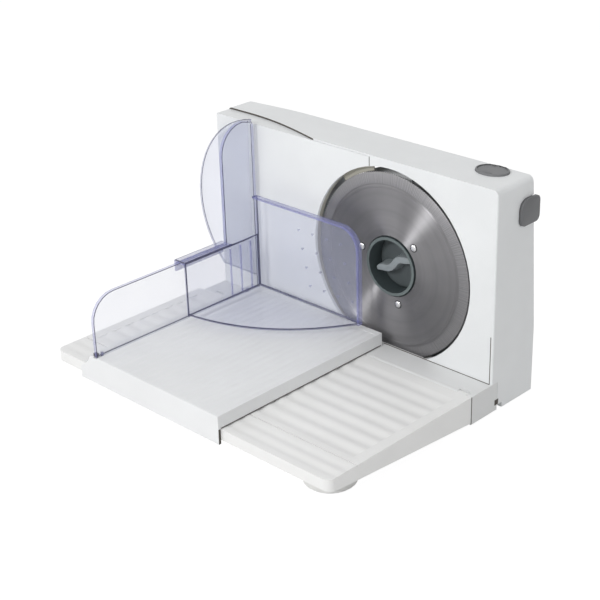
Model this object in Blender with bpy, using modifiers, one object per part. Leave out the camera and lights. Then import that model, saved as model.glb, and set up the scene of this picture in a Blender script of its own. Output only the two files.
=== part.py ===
"""Folding electric food slicer, built as separate pieces.

Lengths are in metres. Positions are measured from the blade axis (X, to the right), from the front
face of the housing (Y, to the back) and from the worktop (Z, up). The root empty then moves the
whole object so that the origin lies under the middle of its bounding box.
"""
import math

import bmesh
import bpy
from mathutils import Matrix, Vector

GAP = 0.0003
MARGIN = 0.004
ROUND_STEPS = 6
LARGE_STEPS = 60
TURN_STEPS = 26
SMALL_STEPS = 10
TINY_STEPS = 6
OVAL_STEPS = 20
GUARD_STEPS = 22
RIM_STEPS = 8
GRIP_STEPS = 20
PUSHER_STEPS = 16
LUG_STEPS = 10
CAP_LEVEL = 0.999

HOUSING_LEFT = -0.2109
HOUSING_RIGHT = 0.1119
HOUSING_TOP = 0.1993
HOUSING_FOOT = 0.0022
HOUSING_DEPTH = 0.061
HOUSING_WALL = 0.0025
LEAN_START = 0.062
LEAN_RATE = 0.075
REAR_ROUND = 0.005
TOP_CORNER_ROUND = 0.005
FRONT_EDGE_ROUND = 0.0018
LEFT_TAPER_START = -0.1105
LEFT_TAPER_RATE = 0.0975
RIGHT_TAPER_START = 0.0735
RIGHT_TAPER_RATE = 0.12

TABLE_TOP = 0.0285
SEAM_X = -0.0217
RIM_WALL = 0.0015
RIM_DEPTH = 0.0162
RIM_FADE_START = -0.1805
RIM_FADE_END = -0.0865

BLADE_RADIUS = 0.0837
BLADE_DIP = 0.009
BLADE_HEIGHT = TABLE_TOP + BLADE_RADIUS - BLADE_DIP
BLADE_CLEARANCE = 0.0033
OPENING_RADIUS = BLADE_RADIUS + BLADE_CLEARANCE
OPENING_RISE = 0.0018
OPENING_HEIGHT = BLADE_HEIGHT + OPENING_RISE
BLADE_FRONT = 0.0023
BLADE_THICKNESS = 0.0014
BLADE_BEVEL = 0.010
CUP_RADIUS = 0.0266
CUP_WALL = 0.0026
CUP_FRONT = 0.0009
CUP_DEPTH = 0.0184
CUP_FLOOR = 0.0025
FLANGE_RADIUS = 0.038
FLANGE_THICKNESS = 0.0032
RIVET_CIRCLE = 0.0344
RIVET_FIRST_ANGLE = 43.4
RIVET_COUNT = 3
RIVET_HEAD_RADIUS = 0.0025
RIVET_HEAD = 0.0009
RIVET_SHANK_RADIUS = 0.0015

KNOB_RADIUS = 0.0235
KNOB_PLATE = 0.003
KNOB_GRIP_HEIGHT = 0.0105
KNOB_GRIP_LENGTH = 0.040
KNOB_GRIP_WIDTH = 0.0072
KNOB_GRIP_SWING = 0.0058
KNOB_TILT = 20.0
KNOB_STEM_RADIUS = 0.004
KNOB_STEM = 0.007

FRAME_FRONT = 0.0225
FRAME_PLATE = 0.003
FRAME_LEFT = -0.0305
FRAME_WALL = 0.0025
BOSS_RADIUS = 0.014
BOSS_LENGTH = 0.006
BUSH_RADIUS = 0.010
SPINDLE_RADIUS = 0.0065
SPINDLE_SOCKET = 0.009
WHEEL_RADIUS = 0.0272
WHEEL_DEPTH_SHARE = 0.61
WHEEL_FRONT = HOUSING_DEPTH * WHEEL_DEPTH_SHARE
WHEEL_WIDTH = 0.008
WHEEL_HUB = 0.003
SPINDLE_TAIL = 0.0023
SPINDLE_END = WHEEL_FRONT + WHEEL_WIDTH + WHEEL_HUB + SPINDLE_TAIL
WHEEL_HUB_RADIUS = 0.011
WHEEL_TEETH = 40
WHEEL_TOOTH = 0.0016
TOOTH_SHARE = 0.5
CIRCLIP_RADIUS = 0.009
CIRCLIP_THICKNESS = 0.001

MOTOR_CLEARANCE = 0.0004
MOTOR_RADIUS = WHEEL_FRONT + WHEEL_WIDTH / 2 - FRAME_FRONT - FRAME_PLATE - MOTOR_CLEARANCE
MOTOR_WALL = 0.0012
MOTOR_FOOT = 0.022
MOTOR_TOP_DROP = 0.0244
MOTOR_LENGTH = BLADE_HEIGHT - MOTOR_TOP_DROP - MOTOR_FOOT
MOTOR_SHAFT_RADIUS = 0.0025
MOTOR_SHAFT_RISE = 0.0196
MOTOR_SHAFT_TOP = BLADE_HEIGHT + MOTOR_SHAFT_RISE
WORM_RADIUS = 0.0065
WORM_ROOT = 0.0048
WORM_DROP = 0.0124
WORM_LOW = BLADE_HEIGHT - WORM_DROP
WORM_LENGTH = 0.026
WORM_TURNS = 5
CORE_CLEARANCE = 0.0038
CORE_RADIUS = MOTOR_RADIUS - CORE_CLEARANCE
CORE_SHARE = 0.7
BRACKET_THICKNESS = 0.002
BRACKET_HALF_WIDTH = 0.0155
BRACKET_TAB = 0.015

POST_RADIUS = 0.0045
SCREW_LEFT = -0.02
SCREW_RIGHT = 0.096
SCREW_LOW = 0.028
SCREW_DROP = 0.0483
SCREW_XS = (SCREW_LEFT, SCREW_RIGHT)
SCREW_ZS = (SCREW_LOW, HOUSING_TOP - SCREW_DROP)
SCREW_HEAD_RADIUS = 0.003
SCREW_HEAD = 0.0016
SCREW_SHANK_RADIUS = 0.0015
SCREW_LENGTH = 0.012
SCREW_SEAT = 0.0012
SLOT_SHARE = 0.6
COVER_LEFT = -0.0265
COVER_RIGHT = 0.1035
COVER_LOW = 0.020
COVER_DROP = 0.0153
COVER_HIGH = HOUSING_TOP - COVER_DROP
VENT_COUNT = 8
VENT_WIDTH = 0.0028
VENT_PITCH = 0.0068
VENT_LOW = 0.034
VENT_HIGH = 0.078
VENT_MIDDLE = 0.046

OUTLET_LEFT = -0.0845
OUTLET_RIGHT = -0.035
OUTLET_LOW = 0.042
OUTLET_DROP = 0.0273
OUTLET_HIGH = HOUSING_TOP - OUTLET_DROP
OUTLET_ROUND = 0.008
RAMP_START = -0.0685
RAMP_CLEARANCE = 0.0032
RAMP_FRONT = BLADE_FRONT + BLADE_THICKNESS + RAMP_CLEARANCE
RAMP_END = -0.0313
RAMP_BACK_CLEARANCE = 0.017
RAMP_BACK = HOUSING_DEPTH - RAMP_BACK_CLEARANCE
RAMP_THICKNESS = 0.0025
RAMP_LAP = 0.0015
RAMP_RADIUS = BLADE_RADIUS - RAMP_LAP

STOP_PLATE_THICKNESS = 0.0028
STOP_RIM = 0.0028
STOP_RIM_DEPTH = 0.020
STOP_ROOM = 0.046
STOP_TRAVEL = HOUSING_DEPTH - STOP_ROOM
ROD_X = -0.1915
ROD_LOW = 0.060
ROD_DROP = 0.0343
ROD_ZS = (ROD_LOW, HOUSING_TOP - ROD_DROP)
ROD_RADIUS = 0.003
ROD_BOSS_RADIUS = 0.0065
ROD_SOCKET_FRONT = 0.0185
ROD_TAIL = 0.006
ROD_SEAT = 0.0060

DIAL_X = -0.1445
DIAL_Z = 0.112
DIAL_RADIUS = 0.026
DIAL_GRIP_RADIUS = 0.021
DIAL_DEPTH = 0.014
DIAL_RIM = 0.004
DIAL_SPINDLE_RADIUS = 0.004
DIAL_SPINDLE_FRONT = 0.0188
DIAL_NUT_RADIUS = 0.0078
DIAL_NUT_LENGTH = 0.0215
DIAL_COLLAR_RADIUS = 0.008
DIAL_COLLAR = 0.002
DIAL_POINTER = 0.003
DIAL_FLUTES = 12

TOP_BUTTON_X = 0.0805
TOP_BUTTON_SHIFT = 0.00975
TOP_BUTTON_SIDE = 0.00575
TOP_BUTTON_Y = (HOUSING_DEPTH + FRAME_FRONT + FRAME_PLATE) / 2 - TOP_BUTTON_SHIFT
TOP_BUTTON_HALF_X = 0.0150
TOP_BUTTON_HALF_Y = (HOUSING_DEPTH - FRAME_FRONT - FRAME_PLATE) / 2 - TOP_BUTTON_SIDE
TOP_BUTTON_PROUD = 0.0014
TOP_BUTTON_DOME = 0.0012
TOP_BUTTON_TRAVEL = 0.002
TOP_BUTTON_FLANGE = 0.0015
TOP_BUTTON_SKIRT = 0.0065
BUTTON_STEM_RADIUS = 0.0035
SIDE_BUTTON_DEPTH = 0.0245
SIDE_BUTTON_OVERHANG = 0.008
SIDE_BUTTON_BACK = HOUSING_DEPTH - SIDE_BUTTON_OVERHANG
SIDE_BUTTON_FRONT = SIDE_BUTTON_BACK - SIDE_BUTTON_DEPTH
SIDE_BUTTON_DROP = 0.0163
SIDE_BUTTON_HEIGHT = 0.0225
SIDE_BUTTON_HIGH = HOUSING_TOP - SIDE_BUTTON_DROP
SIDE_BUTTON_LOW = SIDE_BUTTON_HIGH - SIDE_BUTTON_HEIGHT
SIDE_BUTTON_PROUD = 0.0028
SIDE_BUTTON_TRAVEL = 0.0012
SIDE_BUTTON_RECESS = 0.0016
SIDE_BUTTON_ROUND = 0.009
SIDE_BUTTON_CORNER = 0.005
SIDE_BUTTON_SOFT = 0.0006
SIDE_STEM_DROP = 0.0283
SIDE_STEM_BACK = 0.0235
SIDE_BUTTON_Z = HOUSING_TOP - SIDE_STEM_DROP
SIDE_BUTTON_Y = HOUSING_DEPTH - SIDE_STEM_BACK
SWITCH_LEFT = 0.0655
SWITCH_RIGHT = 0.093
SWITCH_BACK_CLEARANCE = 0.0155
SWITCH_DROP = 0.0138
SWITCH_HEIGHT = 0.0255
SWITCH_FRONT = FRAME_FRONT + FRAME_PLATE + GAP
SWITCH_BACK = HOUSING_DEPTH - SWITCH_BACK_CLEARANCE
SWITCH_HIGH = HOUSING_TOP - SWITCH_DROP
SWITCH_LOW = SWITCH_HIGH - SWITCH_HEIGHT
SWITCH_SOCKET = 0.004

GLAND_X = -0.0485
GLAND_Z = 0.0225
GLAND_RADIUS = 0.0048
GLAND_BORE = 0.0019
GLAND_FLANGE_RADIUS = 0.0068
GLAND_FLANGE = 0.002

REAR_FOOT_RADIUS = 0.009
REAR_FOOT_STEM_RADIUS = 0.003
REAR_FOOT_STEM = 0.0045
REAR_FOOT_LEFT = -0.1815
REAR_FOOT_RIGHT = 0.0835
REAR_FOOT_BACK = 0.017
REAR_FOOT_XS = (REAR_FOOT_LEFT, REAR_FOOT_RIGHT)
REAR_FOOT_Y = HOUSING_DEPTH - REAR_FOOT_BACK
REAR_FOOT_STEPS = 20

SEAM_Y = -0.027
SILL_BACK = 0.0078
SILL_FOOT = 0.0026
SILL_WALL = 0.0025
SILL_POCKET_LEAD = 0.0007
SILL_POCKET_FRONT = BLADE_FRONT - SILL_POCKET_LEAD
HINGE_DROP = 0.0033
LUG_WIDTH = 0.010
LUG_LEFT = -0.1925
LUG_RIGHT = 0.101
LUG_CENTRES = (LUG_LEFT, LUG_RIGHT)
LUG_RADIUS = 0.003
HINGE_PIN_RADIUS = 0.0014
HINGE_PIN_LENGTH = 0.026
NOTCH_DEPTH = 0.0069
NOTCH_HEIGHT = 0.0048

BASE_LEFT = -0.2165
BASE_RIGHT = 0.112
BASE_FRONT = -0.1970
BASE_FRONT_FOOT = 0.0185
BASE_SIDE_FRONT = 0.0165
BASE_SIDE_BACK = 0.0043
BASE_WALL = 0.0025
BASE_CORNER = 0.007
GROOVE_SETBACK = 0.0313
GROOVE_Y = BASE_FRONT + GROOVE_SETBACK
GROOVE_WIDTH = 0.0010
GROOVE_DEPTH = 0.0012
WAVE_COUNT = 8
WAVE_PITCH = 0.0155
WAVE_DEPTH = 0.0009
WAVE_END_MARGIN = 0.010
WAVE_STEPS = 6
FRONT_FOOT_RADIUS = 0.0204
FRONT_FOOT_SETBACK = 0.035
FRONT_FOOT_Y = BASE_FRONT + FRONT_FOOT_SETBACK
FRONT_FOOT_LEFT = -0.1835
FRONT_FOOT_RIGHT = 0.0802
FRONT_FOOT_XS = (FRONT_FOOT_LEFT, FRONT_FOOT_RIGHT)
FRONT_FOOT_HEIGHT = 0.013
FRONT_FOOT_NECK = 0.012
FRONT_FOOT_ROUND = 0.002

CARRIAGE_LEFT = -0.165
CARRIAGE_RIGHT = -0.0045
CARRIAGE_LAP = 0.0027
CARRIAGE_FRONT = BASE_FRONT - CARRIAGE_LAP
CARRIAGE_BACK = -0.0047
CARRIAGE_TOP = 0.0408
CARRIAGE_WALL = 0.0022
APRON_FOOT = 0.0152
APRON_LEFT = -0.1791
APRON_FLARE_LOW = 0.0255
APRON_FLARE_HIGH = 0.034
APRON_FLARE_STEP = 0.003
RIPPLE_FIRST = -0.1505
RIPPLE_PITCH = 0.008
RIPPLE_COUNT = 18
RIPPLE_DEPTH = 0.00022
RIPPLE_STEPS = 4
RIPPLE_FRONT = 0.003
RIPPLE_BACK = 0.006
RUNNER_X = -0.0845
RUNNER_HALF_LENGTH = 0.055
RUNNER_SETBACK = 0.0177
RUNNER_WIDTH = 0.008
RUNNER_FRONT = CARRIAGE_FRONT + RUNNER_SETBACK
RUNNER_BACK = RUNNER_FRONT + RUNNER_WIDTH
RUNNER_TOP = 0.036
RUNNER_FOOT_RADIUS = 0.0012

GUARD_OUT = -0.1595
GUARD_IN = -0.1556
GUARD_LOW_TOP = 0.0960
GUARD_SETBACK = 0.0007
GUARD_FRONT = CARRIAGE_FRONT + GUARD_SETBACK
GUARD_ROUND = 0.0235
GUARD_STEP_Y = -0.0445
GUARD_TALL_TOP = 0.2045
GUARD_TALL_ROUND = 0.026
GUARD_BACK = CARRIAGE_BACK
GUARD_SEAT = 0.0011
FINGER_PLATE = 0.003
FINGER_CENTRE_X = -0.1425
FINGER_CENTRE_Z = 0.117
FINGER_RADIUS = 0.088
FINGER_LOW = 0.052
PIN_RADIUS = 0.0016
PIN_LENGTH = 0.007
PIN_SETBACK = 0.007
PIN_INSET = 0.0153
PIN_FRONT = GUARD_FRONT + PIN_SETBACK
PIN_BACK = GUARD_BACK - PIN_INSET
PIN_YS = (PIN_FRONT, PIN_BACK)

PUSHER_LEFT = -0.1489
PUSHER_WALL = 0.0024
PUSHER_RIGHT = -0.0205
PUSHER_BACK = -0.0112
PUSHER_FRONT = -0.1022
PUSHER_LOW = 0.0470
PUSHER_SIDE_TOP = 0.0986
PUSHER_BACK_TOP = 0.1360
PUSHER_CORNER = 0.020
PUSHER_SAGITTA = 0.020
PUSHER_HOOK_OUT = -0.1617
PUSHER_HOOK_DROP = 0.011
PUSHER_RIM = 0.0062
PUSHER_RIM_WALL = 0.0018
PUSHER_RIB_COUNT = 3
PUSHER_RIB = 0.0012
PUSHER_RIB_PITCH = 0.0125
PUSHER_RIB_FIRST = -0.050
PIP_RADIUS = 0.0014
PIP_LENGTH = 0.0028
PIP_COLUMNS = 4
PIP_ROWS = 4
PIP_PITCH = 0.017
PIP_FIRST_X = -0.0845
PIP_FIRST_Z = 0.064
PUSHER_TRAVEL = 0.072

WHITE = (0.80, 0.81, 0.82)
SOFT_WHITE = (0.76, 0.77, 0.78)
DARK_GREY = (0.13, 0.13, 0.14)
KNOB_GREY = (0.17, 0.19, 0.20)
STEEL = (0.55, 0.55, 0.55)
BRASS = (0.60, 0.45, 0.18)
BLACK = (0.03, 0.03, 0.03)
CLEAR = (0.66, 0.68, 0.80)

PLANES = {
    "X": Matrix(((0, 0, 1), (1, 0, 0), (0, 1, 0))).to_4x4(),
    "Y": Matrix(((1, 0, 0), (0, 0, -1), (0, 1, 0))).to_4x4(),
    "Z": Matrix.Identity(4),
}
SPINS = {
    "X": Matrix(((0, 0, 1), (1, 0, 0), (0, 1, 0))).to_4x4(),
    "Y": Matrix(((1, 0, 0), (0, 0, 1), (0, -1, 0))).to_4x4(),
    "Z": Matrix.Identity(4),
}


def clear_file():
    for item in list(bpy.data.objects):
        bpy.data.objects.remove(item, do_unlink=True)


def new_collection(name):
    group = bpy.data.collections.new(name)
    bpy.context.scene.collection.children.link(group)
    return group


clear_file()
PIECES = new_collection("food_slicer")
CUTTERS = new_collection("cutters")
ROOT = bpy.data.objects.new("slicer_frame", None)
PIECES.objects.link(ROOT)


def register(name, mesh, pivot=(0, 0, 0)):
    """Puts a mesh into the scene with its origin on the pivot."""
    mesh.name = name
    mesh.transform(Matrix.Translation(-Vector(pivot)))
    item = bpy.data.objects.new(name, mesh)
    item.parent = ROOT
    item.location = pivot
    PIECES.objects.link(item)
    return item


def as_tool(item):
    """Moves an object to the cutters, where it is only used by Boolean modifiers."""
    PIECES.objects.unlink(item)
    CUTTERS.objects.link(item)
    item.hide_render = True
    item.display_type = "WIRE"
    return item


def gather(name, tools):
    """Several plain tools as one object, so that one Boolean step uses them together."""
    if len(tools) == 1:
        return tools[0]
    builder = bmesh.new()
    for tool in tools:
        tool.data.transform(Matrix.Translation(tool.location))
        builder.from_mesh(tool.data)
        bpy.data.objects.remove(tool, do_unlink=True)
    return register(name, mesh_from(builder))


def boolean(item, tool, operation):
    step = item.modifiers.new(f"{operation.lower()}_{tool.name}", "BOOLEAN")
    step.operation = operation
    step.solver = "EXACT"
    step.use_self = True
    step.object = as_tool(tool)
    return item


def cut(item, *tools):
    return boolean(item, gather(f"{item.name}_cuts", tools), "DIFFERENCE")


def fuse(item, *tools):
    return boolean(item, gather(f"{item.name}_additions", tools), "UNION")


def keep(item, tool):
    return boolean(item, tool, "INTERSECT")


def soften(item, width, segments=2, angle=40.0):
    step = item.modifiers.new("soft_edges", "BEVEL")
    step.width = width
    step.segments = segments
    step.limit_method = "ANGLE"
    step.angle_limit = math.radians(angle)
    step.use_clamp_overlap = True
    return item


def shade(item, angle=35.0):
    for face in item.data.polygons:
        face.use_smooth = True
    for edge in item.data.edges:
        edge.use_edge_sharp = False
    item.data.set_sharp_from_angle(angle=math.radians(angle))
    return item


def paint(item, name, colour, roughness, metallic=0.0, alpha=1.0):
    look = bpy.data.materials.new(name)
    look.use_nodes = True
    shader = look.node_tree.nodes["Principled BSDF"]
    shader.inputs["Base Color"].default_value = (*colour, 1.0)
    shader.inputs["Roughness"].default_value = roughness
    shader.inputs["Metallic"].default_value = metallic
    shader.inputs["Alpha"].default_value = alpha
    item.data.materials.clear()
    item.data.materials.append(look)
    return item


def mesh_from(builder):
    mesh = bpy.data.meshes.new("shape")
    bmesh.ops.recalc_face_normals(builder, faces=builder.faces)
    builder.to_mesh(mesh)
    builder.free()
    return mesh


def box(name, low, high, pivot=(0, 0, 0)):
    """A block between two corners."""
    low = Vector(low)
    high = Vector(high)
    size = high - low
    builder = bmesh.new()
    bmesh.ops.create_cube(builder, size=1.0)
    bmesh.ops.scale(builder, vec=size, verts=builder.verts)
    bmesh.ops.translate(builder, vec=(low + high) / 2, verts=builder.verts)
    return register(name, mesh_from(builder), pivot)


def plate(name, outline, low, high, axis, pivot=(0, 0, 0)):
    """A filled flat outline, extruded along one axis. Outlines are (y, z), (x, z) or (x, y)."""
    curve = bpy.data.curves.new(name, "CURVE")
    curve.dimensions = "2D"
    curve.fill_mode = "BOTH"
    curve.extrude = (high - low) / 2
    spline = curve.splines.new("POLY")
    spline.points.add(len(outline) - 1)
    for point, (across, up) in zip(spline.points, outline):
        point.co = (across, up, 0.0, 1.0)
    spline.use_cyclic_u = True
    holder = bpy.data.objects.new(name, curve)
    PIECES.objects.link(holder)
    ready = holder.evaluated_get(bpy.context.evaluated_depsgraph_get())
    mesh = bpy.data.meshes.new_from_object(ready)
    bpy.data.objects.remove(holder, do_unlink=True)
    builder = bmesh.new()
    builder.from_mesh(mesh)
    bmesh.ops.remove_doubles(builder, verts=builder.verts, dist=GAP / 100)
    middle = {"X": ((low + high) / 2, 0, 0), "Y": (0, (low + high) / 2, 0), "Z": (0, 0, (low + high) / 2)}
    move = Matrix.Translation(middle[axis]) @ PLANES[axis]
    bmesh.ops.transform(builder, matrix=move, verts=builder.verts)
    return register(name, mesh_from(builder), pivot)


def turned(name, profile, centre, axis, steps=TURN_STEPS, pivot=None):
    """A closed profile of (radius, height) pairs spun about an axis, with its flat ends as single faces."""
    builder = bmesh.new()
    ring = [builder.verts.new((radius, 0.0, height)) for radius, height in profile]
    edges = [builder.edges.new((ring[i - 1], ring[i])) for i in range(len(ring))]
    bmesh.ops.spin(builder, geom=ring + edges, cent=(0, 0, 0), axis=(0, 0, 1), angle=math.tau,
                   steps=steps, use_merge=True)
    bmesh.ops.remove_doubles(builder, verts=builder.verts, dist=GAP / 100)
    bmesh.ops.dissolve_degenerate(builder, dist=GAP / 100, edges=builder.edges)
    lone = [edge for edge in builder.edges if not edge.link_faces]
    bmesh.ops.delete(builder, geom=lone, context="EDGES")
    builder.normal_update()
    flat = [vert for vert in builder.verts if Vector(vert.co.xy).length < GAP / 100
            and all(abs(face.normal.z) > CAP_LEVEL for face in vert.link_faces)]
    bmesh.ops.dissolve_verts(builder, verts=flat)
    bmesh.ops.transform(builder, matrix=Matrix.Translation(centre) @ SPINS[axis], verts=builder.verts)
    return register(name, mesh_from(builder), centre if pivot is None else pivot)


def rod(name, radius, low, high, centre, axis, steps=TURN_STEPS, pivot=None):
    """A plain cylinder between two heights along its axis."""
    return turned(name, ((0, low), (radius, low), (radius, high), (0, high)), centre, axis, steps, pivot)


def arc(across, up, radius, start, stop, steps=ROUND_STEPS):
    turns = [math.radians(start + (stop - start) * i / steps) for i in range(steps + 1)]
    return [(across + radius * math.cos(turn), up + radius * math.sin(turn)) for turn in turns]


def rounded(low, high, radii):
    """A rectangle with its own radius at each corner, from the lower left one round to the right."""
    (left, foot), (right, top) = low, high
    corners = ((left, foot, 1, 1, 180), (right, foot, -1, 1, 270), (right, top, -1, -1, 0),
               (left, top, 1, -1, 90))
    outline = []
    for (across, up, in_x, in_y, start), radius in zip(corners, radii):
        if radius:
            outline += arc(across + in_x * radius, up + in_y * radius, radius, start, start + 90)
        else:
            outline.append((across, up))
    return outline


def rear_y(x, z, inset=0.0):
    """Depth of the housing's rear face at a place, which leans forward and tapers to both ends."""
    depth = HOUSING_DEPTH - inset - LEAN_RATE * max(0.0, z - LEAN_START)
    depth -= LEFT_TAPER_RATE * max(0.0, LEFT_TAPER_START - x)
    return depth - RIGHT_TAPER_RATE * max(0.0, x - RIGHT_TAPER_START)


def taper_tool(name, start, rate, side, inset):
    """A wedge outside the tapering end of the rear face, starting clear of it."""
    edge = start + side * (HOUSING_RIGHT - HOUSING_LEFT)
    run = abs(edge - start)
    begin = start - side * MARGIN
    top = HOUSING_TOP + MARGIN
    lean_z = (LEAN_START, top)
    builder = bmesh.new()
    rows = []
    for z in (HOUSING_FOOT - MARGIN, *lean_z):
        near = HOUSING_DEPTH - inset - LEAN_RATE * max(0.0, z - LEAN_START)
        far = near - rate * run
        back = HOUSING_DEPTH + MARGIN
        rows.append([builder.verts.new(spot) for spot in
                     ((begin, near + rate * MARGIN, z), (edge, far, z), (edge, back, z), (begin, back, z))])
    for lower, upper in zip(rows, rows[1:]):
        for i in range(4):
            builder.faces.new((lower[i - 1], lower[i], upper[i], upper[i - 1]))
    builder.faces.new(rows[0])
    builder.faces.new(rows[-1])
    return register(name, mesh_from(builder))


def housing_block(name, inset, front):
    """The housing's outer form, or the same form drawn in by a wall thickness."""
    left = HOUSING_LEFT + inset
    right = HOUSING_RIGHT - inset
    top = HOUSING_TOP - inset
    foot = HOUSING_FOOT + inset
    corner = TOP_CORNER_ROUND - inset
    if corner < GAP:
        corner = 0.0
    block = plate(name, rounded((left, foot), (right, top), (0, 0, corner, corner)), front,
                  HOUSING_DEPTH + MARGIN, "Y")
    lean_top = HOUSING_DEPTH - inset - LEAN_RATE * (top - LEAN_START)
    turn = REAR_ROUND - inset / 2
    profile = [(-MARGIN, foot - MARGIN), (HOUSING_DEPTH - inset - turn, foot - MARGIN),
               (HOUSING_DEPTH - inset - turn, foot)]
    profile += arc(HOUSING_DEPTH - inset - turn, foot + turn, turn, 270, 360)[1:]
    profile.append((HOUSING_DEPTH - inset, LEAN_START))
    profile += arc(lean_top - turn, top - turn, turn, 0, 90)
    profile += [(lean_top - turn, top + MARGIN), (-MARGIN, top + MARGIN)]
    keep(block, plate(f"{name}_side_form", profile, left - MARGIN, right + MARGIN, "X"))
    cut(block, taper_tool(f"{name}_left_taper", LEFT_TAPER_START, LEFT_TAPER_RATE, -1, inset),
        taper_tool(f"{name}_right_taper", RIGHT_TAPER_START, RIGHT_TAPER_RATE, 1, inset))
    return block


def rim_curve(steps=RIM_STEPS):
    """The line on the top where the housing's edge comes forward to the front face."""
    spots = []
    for i in range(steps + 1):
        share = i / steps
        spots.append((RIM_FADE_END + (RIM_FADE_START - RIM_FADE_END) * share,
                      RIM_DEPTH * math.sin(share * math.pi / 2)))
    return spots


def build_housing():
    shell = housing_block("housing_shell", 0.0, 0.0)
    cut(shell, housing_block("housing_hollow", HOUSING_WALL, HOUSING_WALL))
    fuse(shell, *[guide_socket(f"guide_socket_{i + 1}", z) for i, z in enumerate(ROD_ZS)])
    cut(shell, *housing_front_tools(), *housing_rear_tools(), *housing_button_tools())
    return paint(shade(shell), "housing_white_plastic", WHITE, 0.35)


def housing_front_tools():
    front = [(HOUSING_LEFT - MARGIN, -MARGIN), (RIM_FADE_END, -MARGIN)] + rim_curve()
    front.append((HOUSING_LEFT - MARGIN, RIM_DEPTH))
    return (
        box("stop_opening", (HOUSING_LEFT + RIM_WALL, -MARGIN, TABLE_TOP - GAP),
            (SEAM_X, STOP_RIM_DEPTH + STOP_TRAVEL + RIM_WALL, HOUSING_TOP - RIM_WALL)),
        plate("rim_form", front, TABLE_TOP - GAP / 2, HOUSING_TOP + MARGIN, "Z"),
        rod("blade_opening", OPENING_RADIUS, -MARGIN / 2, HOUSING_WALL + MARGIN,
            (0, 0, OPENING_HEIGHT), "Y", LARGE_STEPS),
        box("sill_opening", (HOUSING_LEFT - MARGIN * 2, -MARGIN * 2, HOUSING_FOOT - MARGIN),
            (HOUSING_RIGHT + MARGIN, SILL_BACK + GAP, TABLE_TOP)),
        box("foot_notch", (HOUSING_LEFT - MARGIN * 3, -MARGIN * 3, HOUSING_FOOT - MARGIN * 2),
            (HOUSING_RIGHT + MARGIN * 2, SILL_BACK + NOTCH_DEPTH, HOUSING_FOOT + NOTCH_HEIGHT)),
        front_edge_tool(),
    )


def front_edge_tool():
    """What the round takes off the front face's upright edge on the right."""
    turn = FRONT_EDGE_ROUND
    side = HOUSING_RIGHT
    outline = [(side - turn, -MARGIN)] + arc(side - turn, turn, turn, -90, 0)
    outline += [(side + MARGIN, turn), (side + MARGIN, -MARGIN)]
    return plate("front_edge_form", outline, TABLE_TOP - GAP * 2, HOUSING_TOP + MARGIN * 2, "Z")


def housing_rear_tools():
    tools = [
        plate("outlet_opening",
              rounded((OUTLET_LEFT, OUTLET_LOW), (OUTLET_RIGHT, OUTLET_HIGH), (OUTLET_ROUND,) * 4),
              STOP_RIM_DEPTH + STOP_TRAVEL + MARGIN, HOUSING_DEPTH + MARGIN, "Y"),
        box("cover_opening", (COVER_LEFT - GAP, FRAME_FRONT, COVER_LOW - GAP),
            (COVER_RIGHT + GAP, HOUSING_DEPTH + MARGIN, COVER_HIGH + GAP)),
        rod("gland_opening", GLAND_RADIUS + GAP, HOUSING_DEPTH - HOUSING_WALL - MARGIN,
            HOUSING_DEPTH + MARGIN, (GLAND_X, 0, GLAND_Z), "Y", SMALL_STEPS),
        rod("dial_opening", DIAL_SPINDLE_RADIUS + GAP, STOP_RIM_DEPTH + STOP_TRAVEL, HOUSING_DEPTH + MARGIN,
            (DIAL_X, 0, DIAL_Z), "Y", SMALL_STEPS),
    ]
    for i, x in enumerate(REAR_FOOT_XS):
        tools.append(rod(f"foot_opening_{i + 1}", REAR_FOOT_STEM_RADIUS + GAP, -MARGIN,
                         HOUSING_FOOT + HOUSING_WALL + MARGIN / 2, (x, REAR_FOOT_Y, 0), "Z", SMALL_STEPS))
    for i, z in enumerate(ROD_ZS):
        tools.append(rod(f"guide_bore_{i + 1}", ROD_RADIUS + GAP, ROD_SOCKET_FRONT - MARGIN,
                         rear_y(ROD_X, z, HOUSING_WALL) - GAP, (ROD_X, 0, z), "Y", SMALL_STEPS))
    return tools


def housing_button_tools():
    return (
        plate("top_button_opening", oval(GAP, GAP), HOUSING_TOP - HOUSING_WALL - MARGIN,
              HOUSING_TOP + MARGIN, "Z"),
        plate("side_button_recess", side_button_outline(GAP), HOUSING_RIGHT - SIDE_BUTTON_RECESS,
              HOUSING_RIGHT + MARGIN / 2, "X"),
        rod("side_button_opening", BUTTON_STEM_RADIUS + GAP, HOUSING_RIGHT - HOUSING_WALL - MARGIN,
            HOUSING_RIGHT + MARGIN, (0, SIDE_BUTTON_Y, SIDE_BUTTON_Z), "X", SMALL_STEPS),
    )


def guide_socket(name, z):
    """The rear wall's hollow boss that a guide rod slides in."""
    return rod(name, ROD_BOSS_RADIUS, ROD_SOCKET_FRONT,
               rear_y(ROD_X - ROD_BOSS_RADIUS, z + ROD_BOSS_RADIUS, HOUSING_WALL / 2), (ROD_X, 0, z), "Y",
               SMALL_STEPS)


def oval(spread_x, spread_y):
    steps = OVAL_STEPS
    return [(TOP_BUTTON_X + (TOP_BUTTON_HALF_X + spread_x) * math.cos(math.tau * i / steps),
             TOP_BUTTON_Y + (TOP_BUTTON_HALF_Y + spread_y) * math.sin(math.tau * i / steps))
            for i in range(steps)]


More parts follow.
